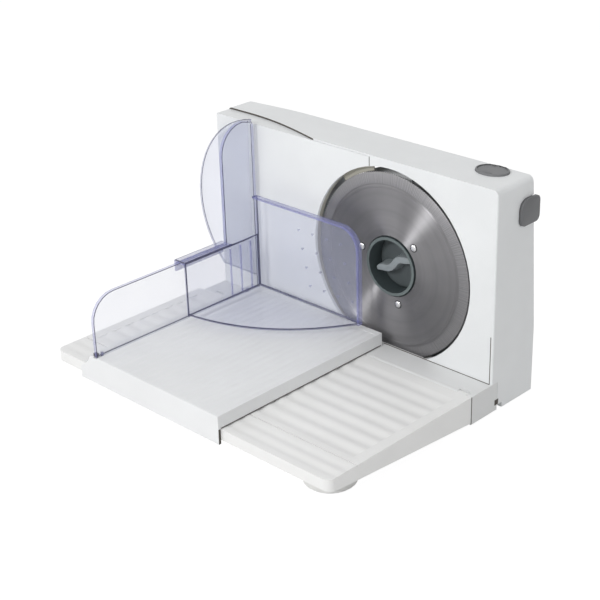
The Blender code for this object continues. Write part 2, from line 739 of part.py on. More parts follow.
def build_inner_frame():
    left = FRAME_LEFT
    back = FRAME_FRONT + FRAME_PLATE
    frame = box("inner_frame", (left, FRAME_FRONT, HOUSING_FOOT), (HOUSING_RIGHT, back, HOUSING_TOP))
    posts = [rod(f"cover_post_{i + 1}", POST_RADIUS, FRAME_FRONT + GAP, HOUSING_DEPTH, (x, 0, z), "Y",
                 SMALL_STEPS)
             for i, (x, z) in enumerate(screw_places())]
    fuse(frame, box("bay_wall", (left + GAP, FRAME_FRONT + GAP, COVER_LOW + MARGIN),
                    (left + FRAME_WALL, HOUSING_DEPTH, COVER_HIGH - MARGIN)),
         rod("bush_boss", BOSS_RADIUS, FRAME_FRONT + GAP, back + BOSS_LENGTH, (0, 0, BLADE_HEIGHT), "Y"),
         *posts)
    keep(frame, housing_block("frame_limit", HOUSING_WALL + GAP, HOUSING_WALL))
    tools = [box("top_relief", (left - MARGIN, 0, COVER_HIGH),
                 (HOUSING_RIGHT + MARGIN, HOUSING_DEPTH, HOUSING_TOP + MARGIN)),
             rod("bush_bore", BUSH_RADIUS + GAP, FRAME_FRONT - MARGIN, back + BOSS_LENGTH + MARGIN,
                 (0, 0, BLADE_HEIGHT), "Y")]
    for i, (x, z) in enumerate(screw_places()):
        bottom = rear_y(x, z, HOUSING_WALL) - SCREW_LENGTH
        tools.append(rod(f"post_bore_{i + 1}", SCREW_SHANK_RADIUS + GAP, bottom - GAP,
                         HOUSING_DEPTH + MARGIN, (x, 0, z), "Y", SMALL_STEPS))
    cut(frame, *tools)
    return paint(shade(frame), "frame_grey_plastic", SOFT_WHITE, 0.5)


def screw_places():
    return [(x, z) for x in SCREW_XS for z in SCREW_ZS]


def build_rear_cover():
    cover = housing_block("rear_cover", 0.0, 0.0)
    cut(cover, housing_block("cover_hollow", HOUSING_WALL, -MARGIN))
    keep(cover, box("cover_window", (COVER_LEFT, FRAME_FRONT, COVER_LOW),
                    (COVER_RIGHT, HOUSING_DEPTH + MARGIN, COVER_HIGH)))
    tools = []
    for i, (x, z) in enumerate(screw_places()):
        seat = rear_y(x, z, HOUSING_WALL) + SCREW_SEAT
        shank = SCREW_SHANK_RADIUS + GAP
        head = SCREW_HEAD_RADIUS + GAP
        profile = ((0, FRAME_FRONT), (shank, FRAME_FRONT), (shank, seat), (head, seat),
                   (head, HOUSING_DEPTH + MARGIN), (0, HOUSING_DEPTH + MARGIN))
        tools.append(turned(f"cover_bore_{i + 1}", profile, (x, 0, z), "Y", SMALL_STEPS))
    first = VENT_MIDDLE - VENT_PITCH * (VENT_COUNT - 1) / 2
    for i in range(VENT_COUNT):
        middle = first + i * VENT_PITCH
        tools.append(box(f"vent_{i + 1}", (middle - VENT_WIDTH / 2, FRAME_FRONT, VENT_LOW),
                         (middle + VENT_WIDTH / 2, HOUSING_DEPTH + MARGIN, VENT_HIGH)))
    cut(cover, *tools)
    paint(shade(cover), "cover_white_plastic", WHITE, 0.4)
    for i, (x, z) in enumerate(screw_places()):
        seat = rear_y(x, z, HOUSING_WALL) + SCREW_SEAT + GAP
        tip = rear_y(x, z, HOUSING_WALL) - SCREW_LENGTH + GAP
        profile = ((0, tip), (SCREW_SHANK_RADIUS, tip), (SCREW_SHANK_RADIUS, seat),
                   (SCREW_HEAD_RADIUS, seat), (SCREW_HEAD_RADIUS, seat + SCREW_HEAD / 2),
                   (SCREW_HEAD_RADIUS / 2, seat + SCREW_HEAD), (0, seat + SCREW_HEAD))
        screw = turned(f"cover_screw_{i + 1}", profile, (x, 0, z), "Y", SMALL_STEPS)
        half = SCREW_HEAD_RADIUS * SLOT_SHARE
        cut(screw, box(f"screw_slot_{i + 1}", (x - half, seat + SCREW_HEAD * SLOT_SHARE, z - GAP),
                       (x + half, seat + MARGIN, z + GAP)))
        paint(shade(screw), f"screw_steel_{i + 1}", STEEL, 0.3, 1.0)


def build_ramp():
    """The guide behind the blade that turns a slice towards the outlet."""
    run = Vector((RAMP_END - RAMP_START, RAMP_BACK - RAMP_FRONT))
    across = Vector((run.y, -run.x)).normalized() * RAMP_THICKNESS
    start = Vector((RAMP_START, RAMP_FRONT))
    end = start + run
    outline = [tuple(start), tuple(start + across), tuple(end + across), tuple(end)]
    limit = FRAME_LEFT - GAP
    ramp = plate("slice_ramp", outline, COVER_LOW, COVER_HIGH, "Z")
    keep(ramp, rod("ramp_form", RAMP_RADIUS, -MARGIN, HOUSING_DEPTH, (0, 0, BLADE_HEIGHT), "Y", LARGE_STEPS))
    cut(ramp, box("ramp_limit", (limit, -MARGIN, 0), (limit + BLADE_RADIUS, HOUSING_DEPTH, HOUSING_TOP)))
    return paint(shade(ramp), "ramp_white_plastic", WHITE, 0.4)


def build_blade():
    axis = (0, 0, BLADE_HEIGHT)
    front = BLADE_FRONT
    back = BLADE_FRONT + BLADE_THICKNESS
    inner = CUP_RADIUS + GAP
    bevel = BLADE_RADIUS - BLADE_BEVEL
    step = BLADE_THICKNESS / 4
    disc = turned("blade_disc", ((inner, front), (bevel, front), (bevel + step, front + step),
                                 (BLADE_RADIUS, back - step), (BLADE_RADIUS, back), (inner, back)),
                  axis, "Y", LARGE_STEPS)
    for i, (x, z) in enumerate(rivet_places()):
        cut(disc, rod(f"disc_rivet_bore_{i + 1}", RIVET_SHANK_RADIUS + GAP, front - MARGIN, back + MARGIN,
                      (x, 0, z), "Y", SMALL_STEPS))
    paint(shade(disc), "blade_steel", STEEL, 0.25, 1.0)
    flange = back + GAP
    floor = CUP_FRONT + CUP_DEPTH
    hub = turned("blade_hub", ((CUP_RADIUS - CUP_WALL, CUP_FRONT), (CUP_RADIUS, CUP_FRONT),
                               (CUP_RADIUS, flange), (FLANGE_RADIUS, flange),
                               (FLANGE_RADIUS, flange + FLANGE_THICKNESS),
                               (CUP_RADIUS, flange + FLANGE_THICKNESS), (CUP_RADIUS, floor + CUP_FLOOR),
                               (KNOB_STEM_RADIUS + GAP, floor + CUP_FLOOR), (KNOB_STEM_RADIUS + GAP, floor),
                               (CUP_RADIUS - CUP_WALL, floor)), axis, "Y")
    rear = flange + FLANGE_THICKNESS
    for i, (x, z) in enumerate(rivet_places()):
        cut(hub, rod(f"hub_rivet_bore_{i + 1}", RIVET_SHANK_RADIUS + GAP, front - MARGIN, rear + MARGIN,
                     (x, 0, z), "Y", SMALL_STEPS))
    paint(shade(hub), "hub_dark_plastic", BLACK, 0.4)
    for i, (x, z) in enumerate(rivet_places()):
        lift = front - GAP
        tail = rear + GAP
        profile = ((0, lift - RIVET_HEAD), (RIVET_HEAD_RADIUS / 2, lift - RIVET_HEAD),
                   (RIVET_HEAD_RADIUS, lift - RIVET_HEAD / 3), (RIVET_HEAD_RADIUS, lift),
                   (RIVET_SHANK_RADIUS, lift), (RIVET_SHANK_RADIUS, tail), (RIVET_HEAD_RADIUS, tail),
                   (RIVET_HEAD_RADIUS, tail + RIVET_HEAD), (0, tail + RIVET_HEAD))
        rivet = turned(f"blade_rivet_{i + 1}", profile, (x, 0, z), "Y", SMALL_STEPS)
        paint(shade(rivet), f"rivet_steel_{i + 1}", STEEL, 0.25, 1.0)


def rivet_places():
    turns = [math.radians(RIVET_FIRST_ANGLE + 360 * i / RIVET_COUNT) for i in range(RIVET_COUNT)]
    return [(RIVET_CIRCLE * math.cos(turn), BLADE_HEIGHT + RIVET_CIRCLE * math.sin(turn)) for turn in turns]


def grip_outline():
    """The knob's grip seen from the front: a bar whose middle line is one wave."""
    steps = GRIP_STEPS
    upper = []
    lower = []
    tilt = math.radians(KNOB_TILT)
    for i in range(steps + 1):
        share = i / steps * 2 - 1
        along = share * KNOB_GRIP_LENGTH / 2
        swing = KNOB_GRIP_SWING * math.sin(share * math.pi / 2)
        half = KNOB_GRIP_WIDTH / 2 * math.sqrt(max(0.0, 1 - share ** 6)) + GAP
        for side, row in ((1, upper), (-1, lower)):
            up = swing + side * half
            row.append((along * math.cos(tilt) - up * math.sin(tilt),
                        BLADE_HEIGHT + along * math.sin(tilt) + up * math.cos(tilt)))
    return lower + upper[::-1]


def build_lock_knob():
    floor = CUP_FRONT + CUP_DEPTH
    rear = floor - GAP
    front = rear - KNOB_PLATE
    axis = (0, 0, BLADE_HEIGHT)
    profile = ((0, front), (KNOB_RADIUS, front), (KNOB_RADIUS, rear), (KNOB_STEM_RADIUS, rear),
               (KNOB_STEM_RADIUS, rear + KNOB_STEM), (0, rear + KNOB_STEM))
    knob = turned("lock_knob", profile, axis, "Y")
    fuse(knob, plate("grip_form", grip_outline(), rear - KNOB_PLATE - KNOB_GRIP_HEIGHT, rear - GAP, "Y"))
    return paint(shade(knob), "knob_grey_plastic", KNOB_GREY, 0.35)


def build_spindle():
    axis = (0, 0, BLADE_HEIGHT)
    start = CUP_FRONT + CUP_DEPTH + CUP_FLOOR + GAP
    back = FRAME_FRONT + FRAME_PLATE + BOSS_LENGTH
    socket = KNOB_STEM_RADIUS + GAP
    profile = ((socket, start), (SPINDLE_RADIUS, start), (SPINDLE_RADIUS, SPINDLE_END), (0, SPINDLE_END),
               (0, start + SPINDLE_SOCKET), (socket, start + SPINDLE_SOCKET))
    spindle = turned("blade_spindle", profile, axis, "Y")
    paint(shade(spindle), "spindle_steel", STEEL, 0.3, 1.0)
    bush = turned("spindle_bush", ((SPINDLE_RADIUS + GAP, FRAME_FRONT), (BUSH_RADIUS, FRAME_FRONT),
                                   (BUSH_RADIUS, back), (SPINDLE_RADIUS + GAP, back)), axis, "Y")
    paint(shade(bush), "bush_brass", BRASS, 0.35, 1.0)
    hub_back = WHEEL_FRONT + WHEEL_WIDTH + WHEEL_HUB
    hub_front = back + GAP
    wheel = rod("worm_wheel", WHEEL_HUB_RADIUS, hub_front, hub_back, axis, "Y")
    fuse(wheel, plate("wheel_teeth", tooth_ring(), WHEEL_FRONT, WHEEL_FRONT + WHEEL_WIDTH, "Y"))
    cut(wheel, rod("wheel_bore", SPINDLE_RADIUS + GAP, 0, HOUSING_DEPTH, axis, "Y"))
    paint(shade(wheel), "wheel_nylon", SOFT_WHITE, 0.5)
    clip_front = hub_back + GAP
    clip = turned("spindle_clip", ((SPINDLE_RADIUS + GAP, clip_front), (CIRCLIP_RADIUS, clip_front),
                                   (CIRCLIP_RADIUS, clip_front + CIRCLIP_THICKNESS),
                                   (SPINDLE_RADIUS + GAP, clip_front + CIRCLIP_THICKNESS)), axis, "Y")
    paint(shade(clip), "clip_steel", STEEL, 0.3, 1.0)


def tooth_ring():
    outline = []
    for i in range(WHEEL_TEETH):
        for share, radius in ((0.0, WHEEL_RADIUS - WHEEL_TOOTH), (TOOTH_SHARE, WHEEL_RADIUS)):
            turn = math.tau * (i + share) / WHEEL_TEETH
            outline.append((radius * math.cos(turn), BLADE_HEIGHT + radius * math.sin(turn)))
    return outline


def build_motor():
    x = WHEEL_RADIUS + WORM_RADIUS + GAP * 2
    y = WHEEL_FRONT + WHEEL_WIDTH / 2
    axis = (x, y, 0)
    top = MOTOR_FOOT + MOTOR_LENGTH
    inner = MOTOR_RADIUS - MOTOR_WALL
    hole = MOTOR_SHAFT_RADIUS + GAP
    can = turned("motor_can", ((0, MOTOR_FOOT), (MOTOR_RADIUS, MOTOR_FOOT), (MOTOR_RADIUS, top), (hole, top),
                               (hole, top - MOTOR_WALL), (inner, top - MOTOR_WALL),
                               (inner, MOTOR_FOOT + MOTOR_WALL), (0, MOTOR_FOOT + MOTOR_WALL)), axis, "Z")
    paint(shade(can), "motor_steel", STEEL, 0.45, 1.0)
    foot = MOTOR_FOOT + MOTOR_WALL + GAP
    shaft = rod("motor_shaft", MOTOR_SHAFT_RADIUS, foot, MOTOR_SHAFT_TOP, axis, "Z", SMALL_STEPS)
    paint(shade(shaft), "shaft_steel", STEEL, 0.3, 1.0)
    half = MOTOR_LENGTH * CORE_SHARE / 2
    middle = MOTOR_FOOT + MOTOR_LENGTH / 2
    core = turned("motor_core", ((hole, middle - half), (CORE_RADIUS, middle - half),
                                 (CORE_RADIUS, middle + half), (hole, middle + half)), axis, "Z")
    paint(shade(core), "core_copper", BRASS, 0.4, 1.0)
    worm = turned("motor_worm", worm_profile(hole), axis, "Z", SMALL_STEPS)
    paint(shade(worm), "worm_steel", STEEL, 0.35, 1.0)
    low = top + GAP
    high = low + BRACKET_THICKNESS
    front = FRAME_FRONT + FRAME_PLATE + GAP
    tab = low - BRACKET_TAB
    angle = [(front, tab), (front + BRACKET_THICKNESS, tab), (front + BRACKET_THICKNESS, low),
             (y + MOTOR_RADIUS, low), (y + MOTOR_RADIUS, high), (front, high)]
    bracket = plate("motor_bracket", angle, x - BRACKET_HALF_WIDTH, x + BRACKET_HALF_WIDTH, "X")
    middle = BRACKET_HALF_WIDTH - BRACKET_TAB / 3
    cut(bracket, box("bracket_window", (x - middle, front - MARGIN, tab - MARGIN),
                     (x + middle, front + MARGIN, low + GAP)),
        rod("bracket_bore", WORM_RADIUS + GAP, low - BRACKET_THICKNESS / 2, high + MARGIN, axis, "Z",
            SMALL_STEPS))
    paint(shade(bracket), "bracket_steel", STEEL, 0.4, 1.0)


def worm_profile(hole):
    profile = [(hole, WORM_LOW)]
    for i in range(WORM_TURNS):
        for share, radius in ((0.1, WORM_ROOT), (0.3, WORM_RADIUS), (0.6, WORM_RADIUS), (0.8, WORM_ROOT)):
            profile.append((radius, WORM_LOW + WORM_LENGTH * (i + share) / WORM_TURNS))
    profile[1] = (WORM_ROOT, WORM_LOW)
    profile.append((WORM_ROOT, WORM_LOW + WORM_LENGTH))
    profile.append((hole, WORM_LOW + WORM_LENGTH))
    return profile


def build_stop_plate():
    left = HOUSING_LEFT + RIM_WALL + GAP
    right = SEAM_X - GAP
    low = TABLE_TOP + GAP
    high = HOUSING_TOP - RIM_WALL - GAP
    pivot = ((left + right) / 2, 0, (low + high) / 2)
    middle = STOP_PLATE_THICKNESS / 2
    stop = box("stop_plate", (left, 0, low), (right, STOP_RIM_DEPTH, high), pivot)
    cut(stop, box("stop_hollow", (left + STOP_RIM, STOP_PLATE_THICKNESS, low - MARGIN),
                  (right + MARGIN, STOP_RIM_DEPTH + MARGIN, high - STOP_RIM)))
    bosses = [rod(f"rod_boss_{i + 1}", ROD_BOSS_RADIUS, middle, STOP_PLATE_THICKNESS + ROD_SEAT / 2,
                  (ROD_X, 0, z), "Y", SMALL_STEPS) for i, z in enumerate(ROD_ZS)]
    fuse(stop, rod("nut_boss", DIAL_NUT_RADIUS, middle, DIAL_NUT_LENGTH, (DIAL_X, 0, DIAL_Z), "Y",
                   SMALL_STEPS), *bosses)
    tools = [rod("stop_blade_form", OPENING_RADIUS, -MARGIN, STOP_RIM_DEPTH + MARGIN,
                 (0, 0, OPENING_HEIGHT), "Y", LARGE_STEPS),
             rod("nut_bore", DIAL_SPINDLE_RADIUS + GAP, STOP_PLATE_THICKNESS / 2, DIAL_NUT_LENGTH + MARGIN,
                 (DIAL_X, 0, DIAL_Z), "Y", SMALL_STEPS)]
    for i, z in enumerate(ROD_ZS):
        tools.append(rod(f"rod_seat_{i + 1}", ROD_RADIUS + GAP, STOP_PLATE_THICKNESS - GAP * 4,
                         STOP_RIM_DEPTH + MARGIN, (ROD_X, 0, z), "Y", SMALL_STEPS))
        guide = rod(f"guide_rod_{i + 1}", ROD_RADIUS, STOP_PLATE_THICKNESS - GAP * 3,
                    ROD_SOCKET_FRONT + ROD_TAIL, (ROD_X, 0, z), "Y", SMALL_STEPS)
        paint(shade(guide), f"guide_steel_{i + 1}", STEEL, 0.3, 1.0)
    cut(stop, *tools)
    return paint(shade(stop), "stop_plate_white_plastic", WHITE, 0.35)


def build_dial():
    inner = rear_y(DIAL_X - DIAL_COLLAR_RADIUS, DIAL_Z + DIAL_COLLAR_RADIUS, HOUSING_WALL) - GAP
    outer = rear_y(DIAL_X + DIAL_RADIUS, DIAL_Z - DIAL_RADIUS) + GAP
    axis = (DIAL_X, 0, DIAL_Z)
    back = outer + DIAL_DEPTH
    radius = DIAL_SPINDLE_RADIUS
    profile = ((0, DIAL_SPINDLE_FRONT), (radius, DIAL_SPINDLE_FRONT), (radius, inner - DIAL_COLLAR),
               (DIAL_COLLAR_RADIUS, inner - DIAL_COLLAR), (DIAL_COLLAR_RADIUS, inner), (radius, inner),
               (radius, back - DIAL_RIM), (0, back - DIAL_RIM))
    spindle = turned("dial_spindle", profile, axis, "Y", SMALL_STEPS)
    paint(shade(spindle), "dial_spindle_steel", STEEL, 0.3, 1.0)
    bore = radius + GAP
    dial = turned("thickness_dial", ((bore, outer), (DIAL_RADIUS, outer), (DIAL_RADIUS, outer + DIAL_RIM),
                                     (DIAL_GRIP_RADIUS, outer + DIAL_RIM + DIAL_RIM / 2),
                                     (DIAL_GRIP_RADIUS, back - DIAL_RIM / 2),
                                     (DIAL_GRIP_RADIUS - DIAL_RIM / 2, back), (0, back),
                                     (0, back - DIAL_RIM + GAP), (bore, back - DIAL_RIM + GAP)), axis, "Y")
    half = DIAL_POINTER / 2
    fuse(dial, box("dial_pointer", (DIAL_X - half, outer + DIAL_RIM / 2, DIAL_Z + DIAL_GRIP_RADIUS / 2),
                   (DIAL_X + half, back + DIAL_POINTER / 3, DIAL_Z + DIAL_RADIUS - DIAL_POINTER)))
    flutes = []
    for i in range(DIAL_FLUTES):
        turn = math.tau * (i + 0.5) / DIAL_FLUTES
        spot = (DIAL_X + DIAL_GRIP_RADIUS * math.sin(turn), 0, DIAL_Z + DIAL_GRIP_RADIUS * math.cos(turn))
        flutes.append(rod(f"dial_flute_{i + 1}", half, outer + DIAL_RIM * 2, back + MARGIN, spot, "Y",
                          TINY_STEPS))
    cut(dial, *flutes)
    return paint(shade(dial), "dial_white_plastic", WHITE, 0.35)


def build_buttons():
    top = HOUSING_TOP + TOP_BUTTON_PROUD
    under = HOUSING_TOP - HOUSING_WALL - GAP
    pivot = (TOP_BUTTON_X, TOP_BUTTON_Y, top)
    key = plate("top_button", oval(0.0, 0.0), under - TOP_BUTTON_FLANGE / 2, top, "Z", pivot)
    soften(key, TOP_BUTTON_DOME)
    flange = plate("button_flange", oval(TOP_BUTTON_FLANGE, -GAP), under - TOP_BUTTON_FLANGE, under, "Z")
    fuse(key, flange)
    fuse(key, rod("top_stem", BUTTON_STEM_RADIUS, SWITCH_HIGH - SWITCH_SOCKET / 2,
                  under - TOP_BUTTON_FLANGE / 2, (TOP_BUTTON_X, TOP_BUTTON_Y, 0), "Z", SMALL_STEPS))
    paint(shade(key), "top_button_dark_plastic", DARK_GREY, 0.4)
    face = HOUSING_RIGHT + GAP / 2
    pivot = (face, SIDE_BUTTON_Y, SIDE_BUTTON_Z)
    proud = HOUSING_RIGHT + SIDE_BUTTON_PROUD
    side = plate("side_button", side_button_outline(0.0), face, proud, "X", pivot)
    soften(side, SIDE_BUTTON_SOFT)
    fuse(side, rod("side_stem", BUTTON_STEM_RADIUS, SWITCH_RIGHT - SWITCH_SOCKET / 2,
                   face + SIDE_BUTTON_PROUD / 2, (0, SIDE_BUTTON_Y, SIDE_BUTTON_Z), "X", SMALL_STEPS))
    paint(shade(side), "side_button_dark_plastic", DARK_GREY, 0.4)
    body = box("switch_body", (SWITCH_LEFT, SWITCH_FRONT, SWITCH_LOW),
               (SWITCH_RIGHT, SWITCH_BACK, SWITCH_HIGH))
    reach = BUTTON_STEM_RADIUS + GAP
    cut(body, rod("top_socket", reach, SWITCH_HIGH - SWITCH_SOCKET - GAP, SWITCH_HIGH + MARGIN,
                  (TOP_BUTTON_X, TOP_BUTTON_Y, 0), "Z", SMALL_STEPS))
    cut(body, rod("side_socket", reach, SWITCH_RIGHT - SWITCH_SOCKET - GAP, SWITCH_RIGHT + MARGIN,
                  (0, SIDE_BUTTON_Y, SIDE_BUTTON_Z), "X", SMALL_STEPS))
    paint(shade(body), "switch_black_plastic", BLACK, 0.5)


def side_button_outline(spread):
    """The key seen from the side: a D with its round corner to the front, overhanging the rear edge."""
    low = (SIDE_BUTTON_FRONT - spread, SIDE_BUTTON_LOW - spread)
    high = (SIDE_BUTTON_BACK + spread, SIDE_BUTTON_HIGH + spread)
    corner = SIDE_BUTTON_CORNER + spread
    return rounded(low, high, (corner, corner, corner, SIDE_BUTTON_ROUND + spread))


def build_gland():
    face = HOUSING_DEPTH + GAP
    inner = HOUSING_DEPTH - HOUSING_WALL - GAP
    profile = ((GLAND_BORE, inner - GLAND_FLANGE), (GLAND_FLANGE_RADIUS, inner - GLAND_FLANGE),
               (GLAND_FLANGE_RADIUS, inner), (GLAND_RADIUS, inner), (GLAND_RADIUS, face),
               (GLAND_FLANGE_RADIUS, face), (GLAND_FLANGE_RADIUS, face + GLAND_FLANGE),
               (GLAND_BORE, face + GLAND_FLANGE))
    gland = turned("cord_gland", profile, (GLAND_X, 0, GLAND_Z), "Y", SMALL_STEPS)
    return paint(shade(gland), "gland_black_rubber", BLACK, 0.7)


def build_rear_feet():
    for i, x in enumerate(REAR_FOOT_XS):
        rest = HOUSING_FOOT - GAP
        foot = turned(f"rear_foot_{i + 1}", ((0, 0), (REAR_FOOT_RADIUS - GAP, 0), (REAR_FOOT_RADIUS, GAP),
                                             (REAR_FOOT_RADIUS, rest), (REAR_FOOT_STEM_RADIUS, rest),
                                             (REAR_FOOT_STEM_RADIUS, rest + REAR_FOOT_STEM),
                                             (0, rest + REAR_FOOT_STEM)), (x, REAR_FOOT_Y, 0), "Z",
                      REAR_FOOT_STEPS)
        paint(shade(foot), f"rear_foot_rubber_{i + 1}", BLACK, 0.8)


def hinge_axis():
    return (0, SEAM_Y + HINGE_DROP, TABLE_TOP - HINGE_DROP)


def build_sill():
    _, hinge_y, hinge_z = hinge_axis()
    profile = [(SILL_BACK, SILL_FOOT), (SILL_BACK, TABLE_TOP)]
    profile += arc(hinge_y, hinge_z, HINGE_DROP, 90, 180)
    profile.append((SEAM_Y, SILL_FOOT))
    sill = plate("hinge_sill", profile, HOUSING_LEFT, HOUSING_RIGHT, "X")
    inner = [(SILL_BACK - SILL_WALL, -MARGIN), (SILL_BACK - SILL_WALL, TABLE_TOP - SILL_WALL),
             (hinge_y + HINGE_DROP * 2, TABLE_TOP - SILL_WALL),
             (hinge_y + HINGE_DROP * 2, hinge_z - HINGE_DROP * 2),
             (SEAM_Y + SILL_WALL, hinge_z - HINGE_DROP * 2), (SEAM_Y + SILL_WALL, -MARGIN)]
    cut(sill, plate("sill_hollow", inner, HOUSING_LEFT + SILL_WALL, HOUSING_RIGHT - SILL_WALL, "X"))
    tools = [rod("blade_pocket", OPENING_RADIUS, SILL_POCKET_FRONT, SILL_BACK + MARGIN,
                 (0, 0, OPENING_HEIGHT), "Y", LARGE_STEPS)]
    for i, x in enumerate(LUG_CENTRES):
        half = LUG_WIDTH / 2 + GAP
        reach = LUG_RADIUS + GAP
        tools.append(box(f"lug_pocket_{i + 1}", (x - half, SEAM_Y - MARGIN, hinge_z - reach),
                         (x + half, hinge_y + reach, TABLE_TOP + MARGIN)))
        tools.append(rod(f"pin_bore_{i + 1}", HINGE_PIN_RADIUS + GAP, x - HINGE_PIN_LENGTH / 2 - GAP,
                         pin_end(x) + GAP, (0, hinge_y, hinge_z), "X", SMALL_STEPS))
        pin = rod(f"hinge_pin_{i + 1}", HINGE_PIN_RADIUS, x - HINGE_PIN_LENGTH / 2, pin_end(x),
                  (0, hinge_y, hinge_z), "X", SMALL_STEPS, (x, hinge_y, hinge_z))
        paint(shade(pin), f"hinge_pin_steel_{i + 1}", STEEL, 0.3, 1.0)
    cut(sill, *tools)
    return paint(shade(sill), "sill_white_plastic", WHITE, 0.35)


def pin_end(x):
    return min(x + HINGE_PIN_LENGTH / 2, HOUSING_RIGHT - SILL_WALL)


def base_profile(drop, top):
    """The base seen from the side: level on top, its skirt deeper towards the back."""
    back = SEAM_Y - GAP
    return [(BASE_FRONT + drop, BASE_FRONT_FOOT), (BASE_FRONT + drop, top), (back - drop, top),
            (back - drop, BASE_SIDE_BACK), (BASE_FRONT + BASE_CORNER * 2, BASE_SIDE_FRONT)]


def build_base():
    pivot = hinge_axis()
    base = plate("base_platform", base_profile(0.0, TABLE_TOP), BASE_LEFT, BASE_RIGHT, "X", pivot)
    plan = rounded((BASE_LEFT, BASE_FRONT), (BASE_RIGHT, SEAM_Y - GAP), (BASE_CORNER, BASE_CORNER, 0, 0))
    keep(base, plate("base_plan_form", plan, -MARGIN, TABLE_TOP + MARGIN, "Z"))
    inner = rounded((BASE_LEFT + BASE_WALL, BASE_FRONT + BASE_WALL),
                    (BASE_RIGHT - BASE_WALL, SEAM_Y - GAP - BASE_WALL),
                    (BASE_CORNER - BASE_WALL, BASE_CORNER - BASE_WALL, 0, 0))
    cut(base, plate("base_hollow", inner, -MARGIN, TABLE_TOP - BASE_WALL, "Z"))
    cut(base, box("base_groove", (BASE_LEFT - MARGIN, GROOVE_Y - GROOVE_WIDTH / 2, TABLE_TOP - GROOVE_DEPTH),
                  (BASE_RIGHT + MARGIN, GROOVE_Y + GROOVE_WIDTH / 2, TABLE_TOP + MARGIN)))
    cut(base, plate("base_waves", wave_outline(), BASE_LEFT + WAVE_END_MARGIN,
                    BASE_RIGHT - WAVE_END_MARGIN, "X"))
    _, hinge_y, hinge_z = pivot
    near = SEAM_Y - GAP - BASE_WALL / 2
    lug = [(near, hinge_z - LUG_RADIUS)] + arc(hinge_y, hinge_z, LUG_RADIUS, -90, 90, LUG_STEPS)
    lug.append((near, hinge_z + LUG_RADIUS))
    fuse(base, *[plate(f"hinge_lug_{i + 1}", lug, x - LUG_WIDTH / 2, x + LUG_WIDTH / 2, "X")
                 for i, x in enumerate(LUG_CENTRES)])
    cut(base, *[rod(f"lug_bore_{i + 1}", HINGE_PIN_RADIUS + GAP, x - LUG_WIDTH, x + LUG_WIDTH,
                    (0, hinge_y, hinge_z), "X", SMALL_STEPS) for i, x in enumerate(LUG_CENTRES)])
    paint(shade(base), "base_white_plastic", WHITE, 0.35)
    for i, x in enumerate(FRONT_FOOT_XS):
        radius = FRONT_FOOT_RADIUS
        height = FRONT_FOOT_HEIGHT
        profile = ((0, 0), (radius - FRONT_FOOT_ROUND * 2, 0), (radius - FRONT_FOOT_ROUND, GAP),
                   (radius, FRONT_FOOT_ROUND), (radius, height), (FRONT_FOOT_NECK, height),
                   (FRONT_FOOT_NECK, TABLE_TOP - BASE_WALL - GAP), (0, TABLE_TOP - BASE_WALL - GAP))
        foot = turned(f"front_foot_{i + 1}", profile, (x, FRONT_FOOT_Y, 0), "Z")
        paint(shade(foot), f"front_foot_plastic_{i + 1}", WHITE, 0.5)


def wave_outline():
    """Shallow waves across the table between the groove and the seam."""
    back = GROOVE_Y + WAVE_END_MARGIN / 2 + WAVE_COUNT * WAVE_PITCH
    front = GROOVE_Y + WAVE_END_MARGIN / 2
    steps = WAVE_COUNT * WAVE_STEPS
    spots = []
    for i in range(steps + 1):
        share = i / steps
        dip = WAVE_DEPTH / 2 * (1 - math.cos(math.tau * WAVE_COUNT * share))
        spots.append((front + (back - front) * share, TABLE_TOP + GAP / 10 - dip))
    return [(back, TABLE_TOP + MARGIN), (front, TABLE_TOP + MARGIN)] + spots


def build_carriage():
    low = TABLE_TOP + GAP
    pivot = ((CARRIAGE_LEFT + CARRIAGE_RIGHT) / 2, (CARRIAGE_FRONT + CARRIAGE_BACK) / 2, low)
    table = box("carriage_table", (CARRIAGE_LEFT, CARRIAGE_FRONT + GAP, low),
                (CARRIAGE_RIGHT, CARRIAGE_BACK, CARRIAGE_TOP), pivot)
    right = CARRIAGE_RIGHT - GAP
    top = CARRIAGE_TOP - GAP
    apron = [(right, APRON_FOOT), (right, top), (CARRIAGE_LEFT + GAP, top),
             (CARRIAGE_LEFT - APRON_FLARE_STEP, APRON_FLARE_HIGH), (APRON_LEFT, APRON_FLARE_LOW),
             (APRON_LEFT, APRON_FOOT)]
    fuse(table, plate("apron_form", apron, CARRIAGE_FRONT, BASE_FRONT - GAP, "Y"))
    wall = CARRIAGE_WALL
    cut(table, box("carriage_hollow", (CARRIAGE_LEFT + wall, CARRIAGE_FRONT + wall, -MARGIN),
                   (CARRIAGE_RIGHT - wall, CARRIAGE_BACK - wall, CARRIAGE_TOP - wall)))
    seat = CARRIAGE_TOP - GUARD_SEAT
    tools = [plate("table_ripples", ripple_outline(), CARRIAGE_FRONT + RIPPLE_FRONT,
                   CARRIAGE_BACK - RIPPLE_BACK, "Y")]
    middle = (GUARD_OUT + GUARD_IN) / 2
    for i, y in enumerate(PIN_YS):
        tools.append(rod(f"table_pin_bore_{i + 1}", PIN_RADIUS + GAP, TABLE_TOP, CARRIAGE_TOP + MARGIN,
                         (middle, y, 0), "Z", SMALL_STEPS))
    tools.append(box("guard_seat", (GUARD_OUT - GAP, GUARD_FRONT - MARGIN, seat),
                     (GUARD_IN + GAP, GUARD_BACK + MARGIN, CARRIAGE_TOP + MARGIN * 2)))
    cut(table, *tools)
    paint(shade(table), "carriage_white_plastic", WHITE, 0.35)
    runner = box("carriage_runner", (RUNNER_X - RUNNER_HALF_LENGTH, RUNNER_FRONT, low),
                 (RUNNER_X + RUNNER_HALF_LENGTH, RUNNER_BACK, RUNNER_TOP), (RUNNER_X, RUNNER_BACK, low))
    paint(shade(runner), "runner_grey_plastic", SOFT_WHITE, 0.4)


